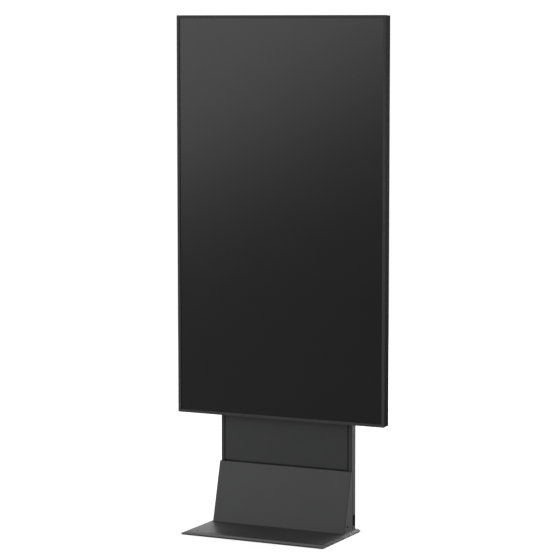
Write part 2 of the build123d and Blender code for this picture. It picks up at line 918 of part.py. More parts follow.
vesa_x = 400.0
vesa_z = 600.0
hook_width = 40.0
hook_height = 660.0
lock_tab_drop = 5.0           # lower tab, below the rail
lock_screw_radius = 3.0
lock_screw_knob_radius = 5.0
lock_screw_knob = 8.0
lock_screw_y = (lip_front + rail_back) / 2

tab_top = member_heights["lower_rail"] - shelf_top - lock_tab_drop
tab_bottom = tab_top - hook_sheet
with BuildPart() as hook_brackets:
    slab(hook_width, hook_height, display_rear, hook_sheet, x=vesa_x / 2, z=display_middle)
    for height in rail_heights:
        with BuildSketch(Plane.YZ.offset(vesa_x / 2 - hook_width / 2)):
            with BuildLine():
                Polyline(
                    (display_rear, height + lip_top),
                    (hook_leg_front, height + lip_top),
                    (hook_leg_front, height + lip_top - hook_drop),
                    (rail_back - hook_gap, height + lip_top - hook_drop),
                    (rail_back - hook_gap, height + lip_top + hook_sheet),
                    (display_rear, height + lip_top + hook_sheet),
                    close=True,
                )
            make_face()
        extrude(amount=hook_width)
    with BuildSketch(Plane.XY.offset(tab_bottom)):
        with Locations((vesa_x / 2, (display_rear + rail_back) / 2)):
            Rectangle(hook_width, rail_back - display_rear)
        with Locations((vesa_x / 2, lock_screw_y)):
            Circle(lock_screw_radius + thread_fit, mode=Mode.SUBTRACT)
    extrude(amount=hook_sheet)
    discs(
        [(vesa_x / 2, display_middle + end * vesa_z / 2) for end in (-1, 1)],
        bolt_radius + screw_clearance,
        display_rear,
        hook_sheet,
        mode=Mode.SUBTRACT,
    )
    mirror(about=Plane.YZ)
save(hook_brackets, "hook_brackets")

with BuildPart() as locking_screws:
    for side in (-1, 1):
        with BuildSketch(Plane.XY.offset(tab_top + lock_tab_drop)):
            with Locations((side * vesa_x / 2, lock_screw_y)):
                Circle(lock_screw_radius)
        extrude(amount=-(lock_tab_drop + 2 * hook_sheet))
        with BuildSketch(Plane.XY.offset(tab_bottom - hook_sheet)):
            with Locations((side * vesa_x / 2, lock_screw_y)):
                Circle(lock_screw_knob_radius)
        extrude(amount=-lock_screw_knob)
save(locking_screws, "locking_screws")

# ---- display: frame, glass and panel ----------------------------------------------------

bezel_depth = 12.0
bezel_flange = 1.8            # thickness of the frame's front face
bezel_wall = 2.0
bezel_corner_radius = 3.0
gasket = 0.7
glass = 4.0
glass_overlap = 5.5           # how far the glass reaches under the frame
bonding = 0.4                 # clear bond between the glass and the panel
panel_border = 1.75           # of the picture panel, round the picture
panel = 2.0
frame_gap_bezel = 0.5
frame_shelf = 5.0
frame_shelf_sheet = 1.2
diffuser = 3.0
tray_depth = 9.8
tray_sheet = 1.0
cell_gap = 0.5                # round the picture panel, inside the chassis frame
cover_seam = 0.8              # joint between the bezel and the rear cover
rear_inset = 1.0              # rear cover inside the bezel's outline
rear_sheet = 1.2
rear_corner_radius = 2.5

glass_front = display_front + bezel_flange + gasket
glass_rear = glass_front + glass
panel_front = glass_rear + bonding
shelf_front = panel_front + panel
diffuser_front = shelf_front + frame_shelf_sheet
tray_front = diffuser_front + diffuser
tray_rear = tray_front + tray_depth
rear_cover_front = display_front + bezel_depth + cover_seam
rear_cover_inside = display_rear - rear_sheet
cell_width = screen_width + 2 * panel_border
cell_height = screen_height + 2 * panel_border
frame_outer_width = display_width - 2 * (bezel_wall + frame_gap_bezel)
frame_outer_height = display_height - 2 * (bezel_wall + frame_gap_bezel)

with BuildPart() as front_bezel:
    slab(display_width, display_height, display_front, bezel_depth, z=display_middle)
    fillet(front_bezel.edges().filter_by(Axis.Y), radius=bezel_corner_radius)
    slab(
        display_width - 2 * bezel_wall,
        display_height - 2 * bezel_wall,
        display_front + bezel_flange,
        bezel_depth - bezel_flange,
        z=display_middle,
        mode=Mode.SUBTRACT,
    )
    slab(
        screen_width,
        screen_height,
        display_front,
        bezel_flange,
        z=display_middle,
        mode=Mode.SUBTRACT,
    )
save(front_bezel, "front_bezel")

glass_width = screen_width + 2 * glass_overlap
glass_height = screen_height + 2 * glass_overlap
gasket_reveal = 1.0
with BuildPart() as glass_gasket:
    slab(glass_width, glass_height, glass_front - gasket, gasket, z=display_middle)
    slab(
        screen_width + 2 * gasket_reveal,
        screen_height + 2 * gasket_reveal,
        glass_front - gasket,
        gasket,
        z=display_middle,
        mode=Mode.SUBTRACT,
    )
save(glass_gasket, "glass_gasket")

with BuildPart() as touch_glass:
    slab(glass_width, glass_height, glass_front, glass, z=display_middle)
save(touch_glass, "touch_glass")

with BuildPart() as lcd_panel:
    slab(cell_width, cell_height, panel_front, panel, z=display_middle)
save(lcd_panel, "lcd_panel")

rear_screw_inset = 6.2
rear_rows = 5
rear_columns = 4
case_screw_radius = 1.5
case_screw_head_radius = 2.6
case_screw_head = 1.6
case_screw_length = 12.0
case_screw_end_x = 60.0       # from the corner screws to the outer screws of a row
case_screw_end_z = 40.0
case_x = display_width / 2 - rear_screw_inset
case_z = display_height / 2 - rear_screw_inset
case_screw_places = [
    (side * case_x, display_middle + (2 * i / (rear_rows - 1) - 1) * (case_z - case_screw_end_z))
    for side in (-1, 1)
    for i in range(rear_rows)
] + [
    ((2 * i / (rear_columns - 1) - 1) * (case_x - case_screw_end_x), display_middle + side * case_z)
    for side in (-1, 1)
    for i in range(rear_columns)
]

with BuildPart() as chassis_frame:
    frame_depth = rear_cover_inside - glass_rear
    slab(frame_outer_width, frame_outer_height, glass_rear, frame_depth, z=display_middle)
    fillet(chassis_frame.edges().filter_by(Axis.Y), radius=rear_corner_radius)
    fillet(
        chassis_frame.faces().sort_by(Axis.Y)[-1].edges(), radius=rear_corner_radius - rear_sheet
    )
    slab(
        cell_width + 2 * cell_gap,
        cell_height + 2 * cell_gap,
        glass_rear,
        frame_depth,
        z=display_middle,
        mode=Mode.SUBTRACT,
    )
    # shelf behind the picture panel
    slab(
        cell_width + 2 * cell_gap,
        cell_height + 2 * cell_gap,
        shelf_front,
        frame_shelf_sheet,
        z=display_middle,
    )
    slab(
        cell_width - 2 * frame_shelf,
        cell_height - 2 * frame_shelf,
        shelf_front,
        frame_shelf_sheet,
        z=display_middle,
        mode=Mode.SUBTRACT,
    )
    discs(
        case_screw_places,
        case_screw_radius + thread_fit,
        rear_cover_inside - case_screw_length,
        case_screw_length,
        mode=Mode.SUBTRACT,
    )
save(chassis_frame, "chassis_frame")

with BuildPart() as diffuser_stack:
    slab(cell_width, cell_height, diffuser_front, diffuser, z=display_middle)
save(diffuser_stack, "diffuser_stack")

with BuildPart() as backlight_tray:
    slab(cell_width, cell_height, tray_front, tray_depth, z=display_middle)
    offset(amount=-tray_sheet, openings=backlight_tray.faces().sort_by(Axis.Y)[0])
save(backlight_tray, "backlight_tray")

led_board = 1.2
led_board_width = 14.0
led_columns = 8
led_rows = 12
led_margin = 50.0
led_lens_radius = 6.0
led_lens = 2.5
led_pitch_x = (screen_width - 2 * led_margin) / (led_columns - 1)
led_pitch_z = (screen_height - 2 * led_margin) / (led_rows - 1)
led_front = tray_rear - tray_sheet - led_board

with BuildPart() as led_strips:
    with BuildSketch(facing(led_front)):
        with Locations((0, display_middle)):
            with GridLocations(led_pitch_x, 0, led_columns, 1):
                Rectangle(led_board_width, screen_height - led_margin)
    extrude(amount=-led_board)
    with BuildSketch(facing(led_front)):
        with Locations((0, display_middle)):
            with GridLocations(led_pitch_x, led_pitch_z, led_columns, led_rows):
                Circle(led_lens_radius)
    extrude(amount=led_lens)
save(led_strips, "led_strips")

# ---- display: rear cover and what is fixed to it ----------------------------------------

vesa_places = corners(vesa_x, vesa_z, display_middle)
boss_radius = 8.0
vesa_thread_depth = 12.0
vesa_screw_short = 1.0        # the screws end this far before the thread's bottom
vesa_head_radius = 7.0
vesa_head = 4.4

port_bay_width = 120.0
port_bay_height = 200.0
port_bay_x = 335.0
port_bay_z = 680.0
port_bay_depth = 6.0          # floor of the bay, below the cover's inner face
port_sheet = 1.2
port_bay_floor = rear_cover_inside - port_bay_depth
port_bay_opening_width = port_bay_width - 2 * port_sheet
port_bay_opening_height = port_bay_height - 2 * port_sheet

mains_x = 335.0
mains_z = 500.0
mains_width = 28.0
mains_height = 66.0
mains_flange = 2.0
mains_rim = 3.0
mains_depth = 14.0
mains_fit = 0.3
inlet_width = 24.4
inlet_height = 17.0
inlet_depth = 13.0
inlet_rise = 14.0             # above the module's middle
inlet_z = mains_z + inlet_rise
pin_width = 2.0
pin_height = 4.0
pin_length = 8.0
pin_spread = 7.0
pin_drop = 2.0
rocker_opening_length = 19.8
rocker_opening_width = 12.8
rocker_gap = 0.4
rocker_pivot_depth = 3.0
rocker_swing = 8.0            # each way from level
switch_drop = 18.0
switch_z = mains_z - switch_drop
mains_face = display_rear + mains_flange

key_radius = 4.0
key_gap = 0.35
key_x = -385.0
key_z = 560.0
key_pitch = 22.0
key_proud = 1.2
key_flange_radius = 5.5
key_flange = 1.0
key_seat_gap = 0.05
key_stem_radius = 2.0
key_stem = 0.5
key_names = ["power", "menu"]
key_places = [(key_x, key_z + i * key_pitch) for i in range(len(key_names))]

vent_columns = 24
vent_width = 3.6
vent_height = 44.0
vent_pitch = 30.0
vent_inset = 75.0             # middle of each row from the cover's edge
speaker_x = 250.0
speaker_slots = 9
speaker_slot_pitch = 14.0
speaker_slot_depth = 16.0

with BuildPart() as rear_cover:
    slab(
        display_width - 2 * rear_inset,
        display_height - 2 * rear_inset,
        rear_cover_front,
        display_rear - rear_cover_front,
        z=display_middle,
    )
    fillet(rear_cover.edges().filter_by(Axis.Y), radius=bezel_corner_radius)
    fillet(rear_cover.faces().sort_by(Axis.Y)[-1].edges(), radius=rear_corner_radius)
    offset(amount=-rear_sheet, openings=rear_cover.faces().sort_by(Axis.Y)[0])
    with BuildSketch(facing(rear_cover_inside)):
        with Locations(*vesa_places):
            Circle(bolt_radius + screw_clearance)
        with Locations(*case_screw_places):
            Circle(case_screw_radius + screw_clearance)
        with Locations(*key_places):
            Circle(key_radius + key_gap)
        with Locations((port_bay_x, port_bay_z)):
            Rectangle(port_bay_opening_width, port_bay_opening_height)
        with Locations((mains_x, mains_z)):
            Rectangle(mains_width, mains_height)
        for side in (-1, 1):
            with Locations((0, display_middle + side * (display_height / 2 - vent_inset))):
                with GridLocations(vent_pitch, 0, vent_columns, 1):
                    SlotOverall(vent_height, vent_width, rotation=90)
    extrude(amount=-rear_sheet, mode=Mode.SUBTRACT)
    # speaker slots in the lower edge
    with BuildSketch(Plane.XY.offset(display_bottom + rear_inset)):
        for side in (-1, 1):
            with Locations((side * speaker_x, (rear_cover_front + display_rear) / 2)):
                with GridLocations(speaker_slot_pitch, 0, speaker_slots, 1):
                    SlotOverall(speaker_slot_depth, vent_width, rotation=90)
    extrude(amount=rear_sheet, mode=Mode.SUBTRACT)
save(rear_cover, "rear_cover")

with BuildPart() as case_screws:
    discs(case_screw_places, case_screw_head_radius, display_rear, case_screw_head)
    discs(
        case_screw_places,
        case_screw_radius,
        rear_cover_inside - case_screw_length,
        case_screw_length + rear_sheet,
    )
save(case_screws, "case_screws")

with BuildPart() as vesa_screws:
    discs(vesa_places, vesa_head_radius, display_rear + hook_sheet, vesa_head)
    discs(
        vesa_places,
        bolt_radius - thread_fit,
        rear_cover_inside - vesa_thread_depth + vesa_screw_short,
        vesa_thread_depth - vesa_screw_short + rear_sheet + hook_sheet,
    )
save(vesa_screws, "vesa_screws")

# ports: place above the bay's middle, and the size of each shell
port_pitch = 24.0
port_wall = 0.8
port_proud = 2.6              # of the bay's floor
port_behind = 3.6             # in front of the floor, inside the display
port_rear = port_bay_floor + port_sheet + port_proud
port_front = port_bay_floor - port_behind
port_sizes = [
    ("picture", 15.0, 5.5),
    ("picture", 15.0, 5.5),
    ("picture", 16.5, 5.5),
    ("network", 12.0, 8.4),
    ("data", 12.6, 5.2),
    ("data", 12.6, 5.2),
    ("touch", 12.6, 5.2),
]
port_tongue = 1.8
port_tongue_side = 1.5        # from the tongue to the shell's opening
port_tongue_short = 1.0       # the tongue ends this far inside the shell
port_fit = 0.2
port_rows = [
    (port_bay_z + (i - (len(port_sizes) - 1) / 2) * port_pitch, width, height, kind)
    for i, (kind, width, height) in enumerate(port_sizes)
]

with BuildPart() as port_bay:
    slab(
        port_bay_width,
        port_bay_height,
        port_bay_floor,
        port_bay_depth,
        x=port_bay_x,
        z=port_bay_z,
    )
    offset(amount=-port_sheet, openings=port_bay.faces().sort_by(Axis.Y)[-1])
    for z, width, height, kind in port_rows:
        slab(
            width + 2 * (port_wall + port_fit),
            height + 2 * (port_wall + port_fit),
            port_bay_floor,
            port_sheet,
            x=port_bay_x,
            z=z,
            mode=Mode.SUBTRACT,
        )
save(port_bay, "port_bay")

with BuildPart() as port_connectors:
    for z, width, height, kind in port_rows:
        shell_width = width + 2 * port_wall
        shell_height = height + 2 * port_wall
        shell_depth = port_rear - port_front
        slab(shell_width, shell_height, port_front, shell_depth, x=port_bay_x, z=z)
        slab(
            width,
            height,
            port_front + port_wall,
            shell_depth - port_wall,
            x=port_bay_x,
            z=z,
            mode=Mode.SUBTRACT,
        )
        if kind != "network":
            slab(
                width - 2 * port_tongue_side,
                port_tongue,
                port_front,
                shell_depth - port_tongue_short,
                x=port_bay_x,
                z=z,
            )
save(port_connectors, "port_connectors")

with BuildPart() as mains_module:
    slab(
        mains_width + 2 * mains_rim,
        mains_height + 2 * mains_rim,
        display_rear,
        mains_flange,
        x=mains_x,
        z=mains_z,
    )
    fillet(mains_module.edges().filter_by(Axis.Y), radius=mains_rim)
    slab(
        mains_width - 2 * mains_fit,
        mains_height - 2 * mains_fit,
        display_rear - mains_depth,
        mains_depth,
        x=mains_x,
        z=mains_z,
    )
    slab(
        inlet_width,
        inlet_height,
        mains_face - inlet_depth,
        inlet_depth,
        x=mains_x,
        z=inlet_z,
        mode=Mode.SUBTRACT,
    )
    slab(
        rocker_opening_width,
        rocker_opening_length,
        mains_face - inlet_depth,
        inlet_depth,
        x=mains_x,
        z=switch_z,
        mode=Mode.SUBTRACT,
    )
    for x, z in ((-pin_spread, -pin_drop), (0, pin_drop), (pin_spread, -pin_drop)):
        slab(
            pin_width,
            pin_height,
            mains_face - inlet_depth,
            pin_length,
            x=mains_x + x,
            z=inlet_z + z,
        )
save(mains_module, "mains_module")

# a rocker's side view about its pivot: X along the rocker, Y out of the panel
rocker_half = 9.0
rocker_tip = 4.6              # the ends above the pivot
rocker_dip = 3.4              # the middle above the pivot
rocker_draft = 0.4
rocker_skirt = 0.5            # the ends' lower edge below the pivot
rocker_root = 3.0             # the root's half width and its depth
rocker_outline = [
    (-rocker_half, rocker_tip),
    (0.0, rocker_dip),
    (rocker_half, rocker_tip),
    (rocker_half - rocker_draft, -rocker_skirt),
    (rocker_root, -rocker_root),
    (-rocker_root, -rocker_root),
    (rocker_draft - rocker_half, -rocker_skirt),
]
rocker_width = rocker_opening_width - 2 * rocker_gap

with BuildPart() as mains_rocker:
    pivot = Plane(
        origin=(mains_x, mains_face - rocker_pivot_depth, switch_z), x_dir=(0, 0, 1), z_dir=(1, 0, 0)
    )
    with BuildSketch(pivot):
        Polygon(*[(a, -b) for a, b in rocker_outline], rotation=rocker_swing, align=None)
    extrude(amount=rocker_width / 2, both=True)
save(mains_rocker, "mains_rocker")

for name, (x, z) in zip(key_names, key_places):
    with BuildPart() as key:
        discs([(x, z)], key_radius, rear_cover_inside - key_seat_gap, rear_sheet + key_proud)
        discs(
            [(x, z)],
            key_flange_radius,
            rear_cover_inside - key_seat_gap - key_flange,
            key_flange,
        )
        discs(
            [(x, z)],
            key_stem_radius,
            rear_cover_inside - key_seat_gap - key_flange - key_stem,
            key_stem,
        )
    save(key, f"key_{name}")

# ---- display: electronics on the tray's rear --------------------------------------------

standoff = 3.0
standoff_radius = 3.0
board = 1.6
board_front = tray_rear + standoff
board_rear = board_front + board
corner_inset = 6.0
key_switch = 3.0
key_switch_size = 6.0
key_board_width = 12.0
key_board_gap = 1.05          # between a key's stem and its switch, at rest
key_board_rear = (
    rear_cover_inside - key_seat_gap - key_flange - key_stem - key_board_gap - key_switch
)

# name: (x, z, width, height, [(part x, z, width, height, depth) from the board's middle])
boards = {
    "main_board": (
        300.0,
        680.0,
        190.0,
        230.0,
        [
            (-70.0, 20.0, 40.0, 40.0, 6.0),
            (-70.0, -60.0, 36.0, 50.0, 4.0),
            (-70.0, 85.0, 30.0, 30.0, 3.0),
        ],
    ),
    "power_board": (
        60.0,
        610.0,
        200.0,
        270.0,
        [
            (-50.0, 70.0, 50.0, 40.0, 9.0),
            (40.0, 60.0, 60.0, 50.0, 8.0),
            (0.0, -70.0, 120.0, 40.0, 8.0),
        ],
    ),
    "timing_board": (
        0.0,
        1010.0,
        300.0,
        60.0,
        [(0.0, 0.0, 24.0, 24.0, 2.0), (80.0, 0.0, 40.0, 10.0, 2.0)],
    ),
    "touch_board": (0.0, 1260.0, 120.0, 50.0, [(0.0, 0.0, 16.0, 16.0, 1.6)]),
}

for name, (x, z, width, height, chips) in boards.items():
    with BuildPart() as circuit_board:
        slab(width, height, board_front, board, x=x, z=z)
        for chip_x, chip_z, chip_width, chip_height, depth in chips:
            slab(chip_width, chip_height, board_rear, depth, x=x + chip_x, z=z + chip_z)
    save(circuit_board, name)

with BuildPart() as tray_bosses:
    discs(vesa_places, boss_radius, tray_rear, rear_cover_inside - tray_rear)
    discs(
        vesa_places,
        bolt_radius,
        rear_cover_inside - vesa_thread_depth,
        vesa_thread_depth,
        mode=Mode.SUBTRACT,
    )
    for x, z, width, height, chips in boards.values():
        places = [
            (x + i * (width / 2 - corner_inset), z + j * (height / 2 - corner_inset))
            for i in (-1, 1)
            for j in (-1, 1)
        ]
        discs(places, standoff_radius, tray_rear, standoff)
    key_middle_z = key_z + key_pitch * (len(key_names) - 1) / 2
    key_board_height = key_pitch * len(key_names)
    discs(
        [(key_x, key_middle_z + end * (key_board_height / 2 - corner_inset)) for end in (-1, 1)],
        standoff_radius,
        tray_rear,
        key_board_rear - board - tray_rear,
    )
save(tray_bosses, "tray_bosses")

with BuildPart() as key_board:
    slab(
        key_board_width,
        key_board_height,
        key_board_rear - board,
        board,
        x=key_x,
        z=key_middle_z,
    )
    for x, z in key_places:
        slab(key_switch_size, key_switch_size, key_board_rear, key_switch, x=x, z=z)
save(key_board, "key_board")

speaker_width = 150.0
speaker_height = 34.0
speaker_depth = 12.0
speaker_rise = 30.0           # above the display's lower edge
speaker_corner_radius = 4.0
speaker_z = display_bottom + speaker_rise
with BuildPart() as speakers:
    for side in (-1, 1):
        slab(speaker_width, speaker_height, tray_rear, speaker_depth, x=side * speaker_x, z=speaker_z)
    fillet(speakers.edges().filter_by(Axis.Y), radius=speaker_corner_radius)
save(speakers, "speakers")

# ---- media player in the column ---------------------------------------------------------

player_plate_width = 160.0
player_plate_sheet = 1.5
player_inset = 153.2          # from the column's side to the player's middle
player_x = player_inset - column_half
player_z = 560.0
player_width = 150.0
player_height = 180.0
player_depth = 17.0
player_corner_radius = 6.0
player_button_radius = 4.0
player_button_proud = 1.0
player_button_gap = 0.35
player_button_rise = 60.0     # above the player's middle
player_button_z = player_z + player_button_rise
plate_low = member_heights["foot"] - member_height / 2
plate_high = member_heights["door"] + member_height / 2
player_front = member_rear + player_plate_sheet
player_rear = player_front + player_depth
player_button_depth = 6.0
player_button_travel = 0.8

with BuildPart() as player_plate:
    slab(
        player_plate_width,
        plate_high - plate_low,
        member_rear,
        player_plate_sheet,
        x=player_x,
        z=(plate_high + plate_low) / 2,
    )
save(player_plate, "player_plate")

with BuildPart() as media_player:
    slab(player_width, player_height, player_front, player_depth, x=player_x, z=player_z)
    fillet(media_player.edges().filter_by(Axis.Y), radius=player_corner_radius)
    discs(
        [(player_x, player_button_z)],
        player_button_radius + player_button_gap,
        player_rear - player_button_depth,
        player_button_depth,
        mode=Mode.SUBTRACT,
    )
save(media_player, "media_player")

with BuildPart() as player_button:
    discs(
        [(player_x, player_button_z)],
        player_button_radius,
        player_rear - player_button_depth + player_button_travel + key_seat_gap,
        player_button_depth - player_button_travel - key_seat_gap + player_button_proud,
    )
save(player_button, "player_button")

# ---- power strip under the foot cover ---------------------------------------------------

strip_side_gap = 15.0         # between the strip's ends and the foot brackets
strip_length = 2 * (bracket_x - bracket_width / 2 - strip_side_gap)
strip_depth = 42.0
strip_height = 36.0
strip_corner_radius = 5.0
strip_clearance = 4.0         # behind the sloped cover, at the strip's top
strip_top = plate_top + strip_height
strip_y = cover_inside(strip_top) + strip_clearance + strip_depth / 2
outlet_pitch = 46.0
outlet_end = 30.0             # from the strip's end to the first outlet
strip_rocker_end = 27.0
strip_rocker_x = strip_length / 2 - strip_rocker_end
outlet_rocker_gap = 75.0      # from the last outlet to the rocker, at least
outlet_first_x = outlet_end - strip_length / 2
outlets = 1 + int((strip_rocker_x - outlet_rocker_gap - outlet_first_x) / outlet_pitch + 1e-6)
outlet_width = 30.0
outlet_height = 24.0
outlet_corner_radius = 4.0
outlet_slots = 3
outlet_proud = 1.0
outlet_slot_width = 2.4
outlet_slot_length = 5.0
outlet_slot_spread = 7.0

with BuildPart() as power_strip:
    with BuildSketch(Plane.XY.offset(plate_top)):
        with Locations((0, strip_y)):
            RectangleRounded(strip_length, strip_depth, strip_corner_radius)
    extrude(amount=strip_height)
    with BuildSketch(Plane.XY.offset(strip_top)):
        with Locations((strip_rocker_x, strip_y)):
            Rectangle(rocker_opening_length, rocker_opening_width)
    extrude(amount=-inlet_depth, mode=Mode.SUBTRACT)
    # outlet inserts
    with BuildSketch(Plane.XY.offset(strip_top)):
        with Locations(*[(outlet_first_x + i * outlet_pitch, strip_y) for i in range(outlets)]):
            RectangleRounded(outlet_width, outlet_height, outlet_corner_radius)
            with GridLocations(outlet_slot_spread, 0, outlet_slots, 1):
                Rectangle(outlet_slot_width, outlet_slot_length, mode=Mode.SUBTRACT)
    extrude(amount=outlet_proud)
save(power_strip, "power_strip")

with BuildPart() as strip_rocker:
    pivot = Plane(
        origin=(strip_rocker_x, strip_y, strip_top - rocker_pivot_depth),
        x_dir=(1, 0, 0),
        z_dir=(0, -1, 0),
    )
    with BuildSketch(pivot):
        Polygon(*rocker_outline, rotation=rocker_swing, align=None)
    extrude(amount=rocker_width / 2, both=True)
save(strip_rocker, "strip_rocker")
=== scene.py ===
import json
import math

import bpy
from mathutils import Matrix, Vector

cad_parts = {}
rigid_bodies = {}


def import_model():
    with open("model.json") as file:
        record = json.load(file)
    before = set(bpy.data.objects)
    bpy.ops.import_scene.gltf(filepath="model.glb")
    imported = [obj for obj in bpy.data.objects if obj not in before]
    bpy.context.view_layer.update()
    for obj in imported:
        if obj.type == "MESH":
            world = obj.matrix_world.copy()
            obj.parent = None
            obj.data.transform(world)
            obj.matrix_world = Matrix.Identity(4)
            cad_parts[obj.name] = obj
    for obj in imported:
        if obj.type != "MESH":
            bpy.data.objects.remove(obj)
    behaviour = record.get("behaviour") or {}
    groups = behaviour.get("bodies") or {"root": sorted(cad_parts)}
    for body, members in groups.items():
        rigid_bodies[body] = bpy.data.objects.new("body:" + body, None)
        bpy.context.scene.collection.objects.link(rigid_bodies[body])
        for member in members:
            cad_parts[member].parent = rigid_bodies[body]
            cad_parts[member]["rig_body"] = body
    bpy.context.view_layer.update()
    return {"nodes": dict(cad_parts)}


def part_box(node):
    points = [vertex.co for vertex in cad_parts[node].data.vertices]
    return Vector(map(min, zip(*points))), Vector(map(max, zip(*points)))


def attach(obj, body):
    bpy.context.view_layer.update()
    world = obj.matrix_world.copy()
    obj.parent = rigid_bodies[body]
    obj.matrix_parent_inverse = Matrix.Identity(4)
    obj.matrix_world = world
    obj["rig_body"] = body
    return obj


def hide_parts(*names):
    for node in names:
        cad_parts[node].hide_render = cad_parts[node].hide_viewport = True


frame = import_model()

# ---- camera -----------------------------------------------------------------------------
# A long lens from the front right, a little above the middle of the kiosk.
camera_data = bpy.data.cameras.new("camera")
camera_data.lens = 154.08
camera_data.sensor_width = 36.0
camera_data.clip_end = 100.0
camera = bpy.data.objects.new("camera", camera_data)
camera.location = (3.7364, -7.6198, 1.8290)
camera.rotation_euler = (math.radians(83.866), 0.0, math.radians(25.903))
bpy.context.scene.collection.objects.link(camera)
bpy.context.scene.camera = camera
bpy.context.scene.view_settings.view_transform = "Standard"


def linear(code):
    """An sRGB hex code, such as "3a3b3c", as linear red, green, blue and alpha."""
    parts = [int(code[i : i + 2], 16) / 255 for i in (0, 2, 4)]
    return (*[p / 12.92 if p <= 0.04045 else ((p + 0.055) / 1.055) ** 2.4 for p in parts], 1.0)


def add_node(tree, kind, inputs=None, **settings):
    """Adds a node to a tree. An input is a value, or the output socket of another node."""
    node = tree.nodes.new(kind)
    for name, value in settings.items():
        setattr(node, name, value)
    for name, value in (inputs or {}).items():
        if isinstance(value, bpy.types.NodeSocket):
            tree.links.new(value, node.inputs[name])
        else:
            node.inputs[name].default_value = value
    return node


# ---- studio -----------------------------------------------------------------------------
# A seamless white sweep. The room's own light is soft and grey, and the camera sees it white.
# The floor is matt white paint, glowing evenly to the camera except under the base plate:
# there the glow is left out, a painted shadow that keeps that joint dark.
world = bpy.data.worlds.new("studio")
world.use_nodes = True
bpy.context.scene.world = world
tree = world.node_tree
tree.nodes.clear()
ray = add_node(tree, "ShaderNodeLightPath")
room = add_node(tree, "ShaderNodeBackground", {"Color": linear("ffffff"), "Strength": 0.36})
sweep = add_node(tree, "ShaderNodeBackground", {"Color": linear("ffffff"), "Strength": 1.05})
shown = add_node(tree, "ShaderNodeMixShader", {0: ray.outputs["Is Camera Ray"]})
tree.links.new(room.outputs[0], shown.inputs[1])
tree.links.new(sweep.outputs[0], shown.inputs[2])
add_node(tree, "ShaderNodeOutputWorld", {"Surface": shown.outputs[0]})

bpy.ops.object.select_all(action="DESELECT")
bpy.ops.mesh.primitive_circle_add(vertices=96, radius=40.0, fill_type="NGON", location=(0, 0, 0))
floor = bpy.context.object
floor.name = "studio_floor"
floor_paint = bpy.data.materials.new("matt white floor paint with painted shadow")
floor_paint.use_nodes = True
tree = floor_paint.node_tree
tree.nodes.clear()
ray = add_node(tree, "ShaderNodeLightPath")
spot = add_node(tree, "ShaderNodeTexCoord").outputs["Object"]
spot = add_node(tree, "ShaderNodeSeparateXYZ", {"Vector": spot})
# Painted shadow: the camera-only glow is switched off inside the base plate's footprint.
glow_strength, glow_lap = 0.78, 0.001
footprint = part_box("base_plate")[1]
outside = []
for axis, half in (("X", footprint.x - glow_lap), ("Y", footprint.y - glow_lap)):
    far = add_node(tree, "ShaderNodeMath", {0: spot.outputs[axis]}, operation="ABSOLUTE")
    outside.append(
        add_node(
            tree, "ShaderNodeMath", {0: far.outputs[0], 1: half}, operation="GREATER_THAN"
        ).outputs[0]
    )
glow_outside_painted_shadow = add_node(
    tree, "ShaderNodeMath", {0: outside[0], 1: outside[1]}, operation="MAXIMUM"
)
glow_power = add_node(
    tree, "ShaderNodeMath", {0: glow_outside_painted_shadow.outputs[0], 1: glow_strength}, operation="MULTIPLY"
)
matt = add_node(tree, "ShaderNodeBsdfDiffuse", {"Color": linear("d4d4d4"), "Roughness": 0.0})
glow = add_node(
    tree, "ShaderNodeEmission", {"Color": linear("ffffff"), "Strength": glow_power.outputs[0]}
)
both = add_node(tree, "ShaderNodeAddShader", {0: matt.outputs[0], 1: glow.outputs[0]})
shown = add_node(tree, "ShaderNodeMixShader", {0: ray.outputs["Is Camera Ray"]})
tree.links.new(matt.outputs[0], shown.inputs[1])
tree.links.new(both.outputs[0], shown.inputs[2])
add_node(tree, "ShaderNodeOutputMaterial", {"Surface": shown.outputs[0]})
floor.data.materials.append(floor_paint)


def softbox(name, place, turn, width, height, power):
    """A rectangular soft light. It faces +Y unturned, and doesn't show itself to the camera."""
    data = bpy.data.lights.new(name, "AREA")
    data.shape = "RECTANGLE"
    data.size, data.size_y = width, height
    data.energy = power
    lamp = bpy.data.objects.new(name, data)
    lamp.location = place
    lift, roll, heading = turn
    lamp.rotation_euler = [math.radians(a) for a in (90 + lift, roll, heading)]
    lamp.visible_camera = False
    bpy.context.scene.collection.objects.link(lamp)


softbox("front_left_card", (-3.02, -4.76, 2.39), (0, -29.2, -9.85), 3.6, 2.6, 52.0)
softbox("right_rear", (1.9, 5.2, 1.4), (0, 0, 160), 1.6, 1.2, 110.0)
softbox("rear", (0.0, 5.5, 1.4), (0, 0, 180), 1.6, 1.2, 80.0)
softbox("left_rear", (-2.7, 4.8, 1.4), (0, 0, -150), 1.6, 1.2, 20.0)
softbox("overhead", (-1.4, 1.7, 2.9), (-50, 0, -140), 1.6, 1.2, 14.0)

# ---- base plate -------------------------------------------------------------------------
# One flat steel plate, 8 mm thick, cut by laser, milled to a bevel at its front and sides,
# drilled, and coated with anthracite powder. Two anchor holes go through near the front.


def start_material(name, constants):
    """A new material, with its tree, its Object coordinates and its shader."""
    material = bpy.data.materials.new(name)
    material.use_nodes = True
    tree = material.node_tree
    tree.nodes.clear()
    place = add_node(tree, "ShaderNodeTexCoord").outputs["Object"]
    shader = add_node(tree, "ShaderNodeBsdfPrincipled", constants)
    add_node(tree, "ShaderNodeOutputMaterial", {"Surface": shader.outputs[0]})
    return material, tree, place, shader


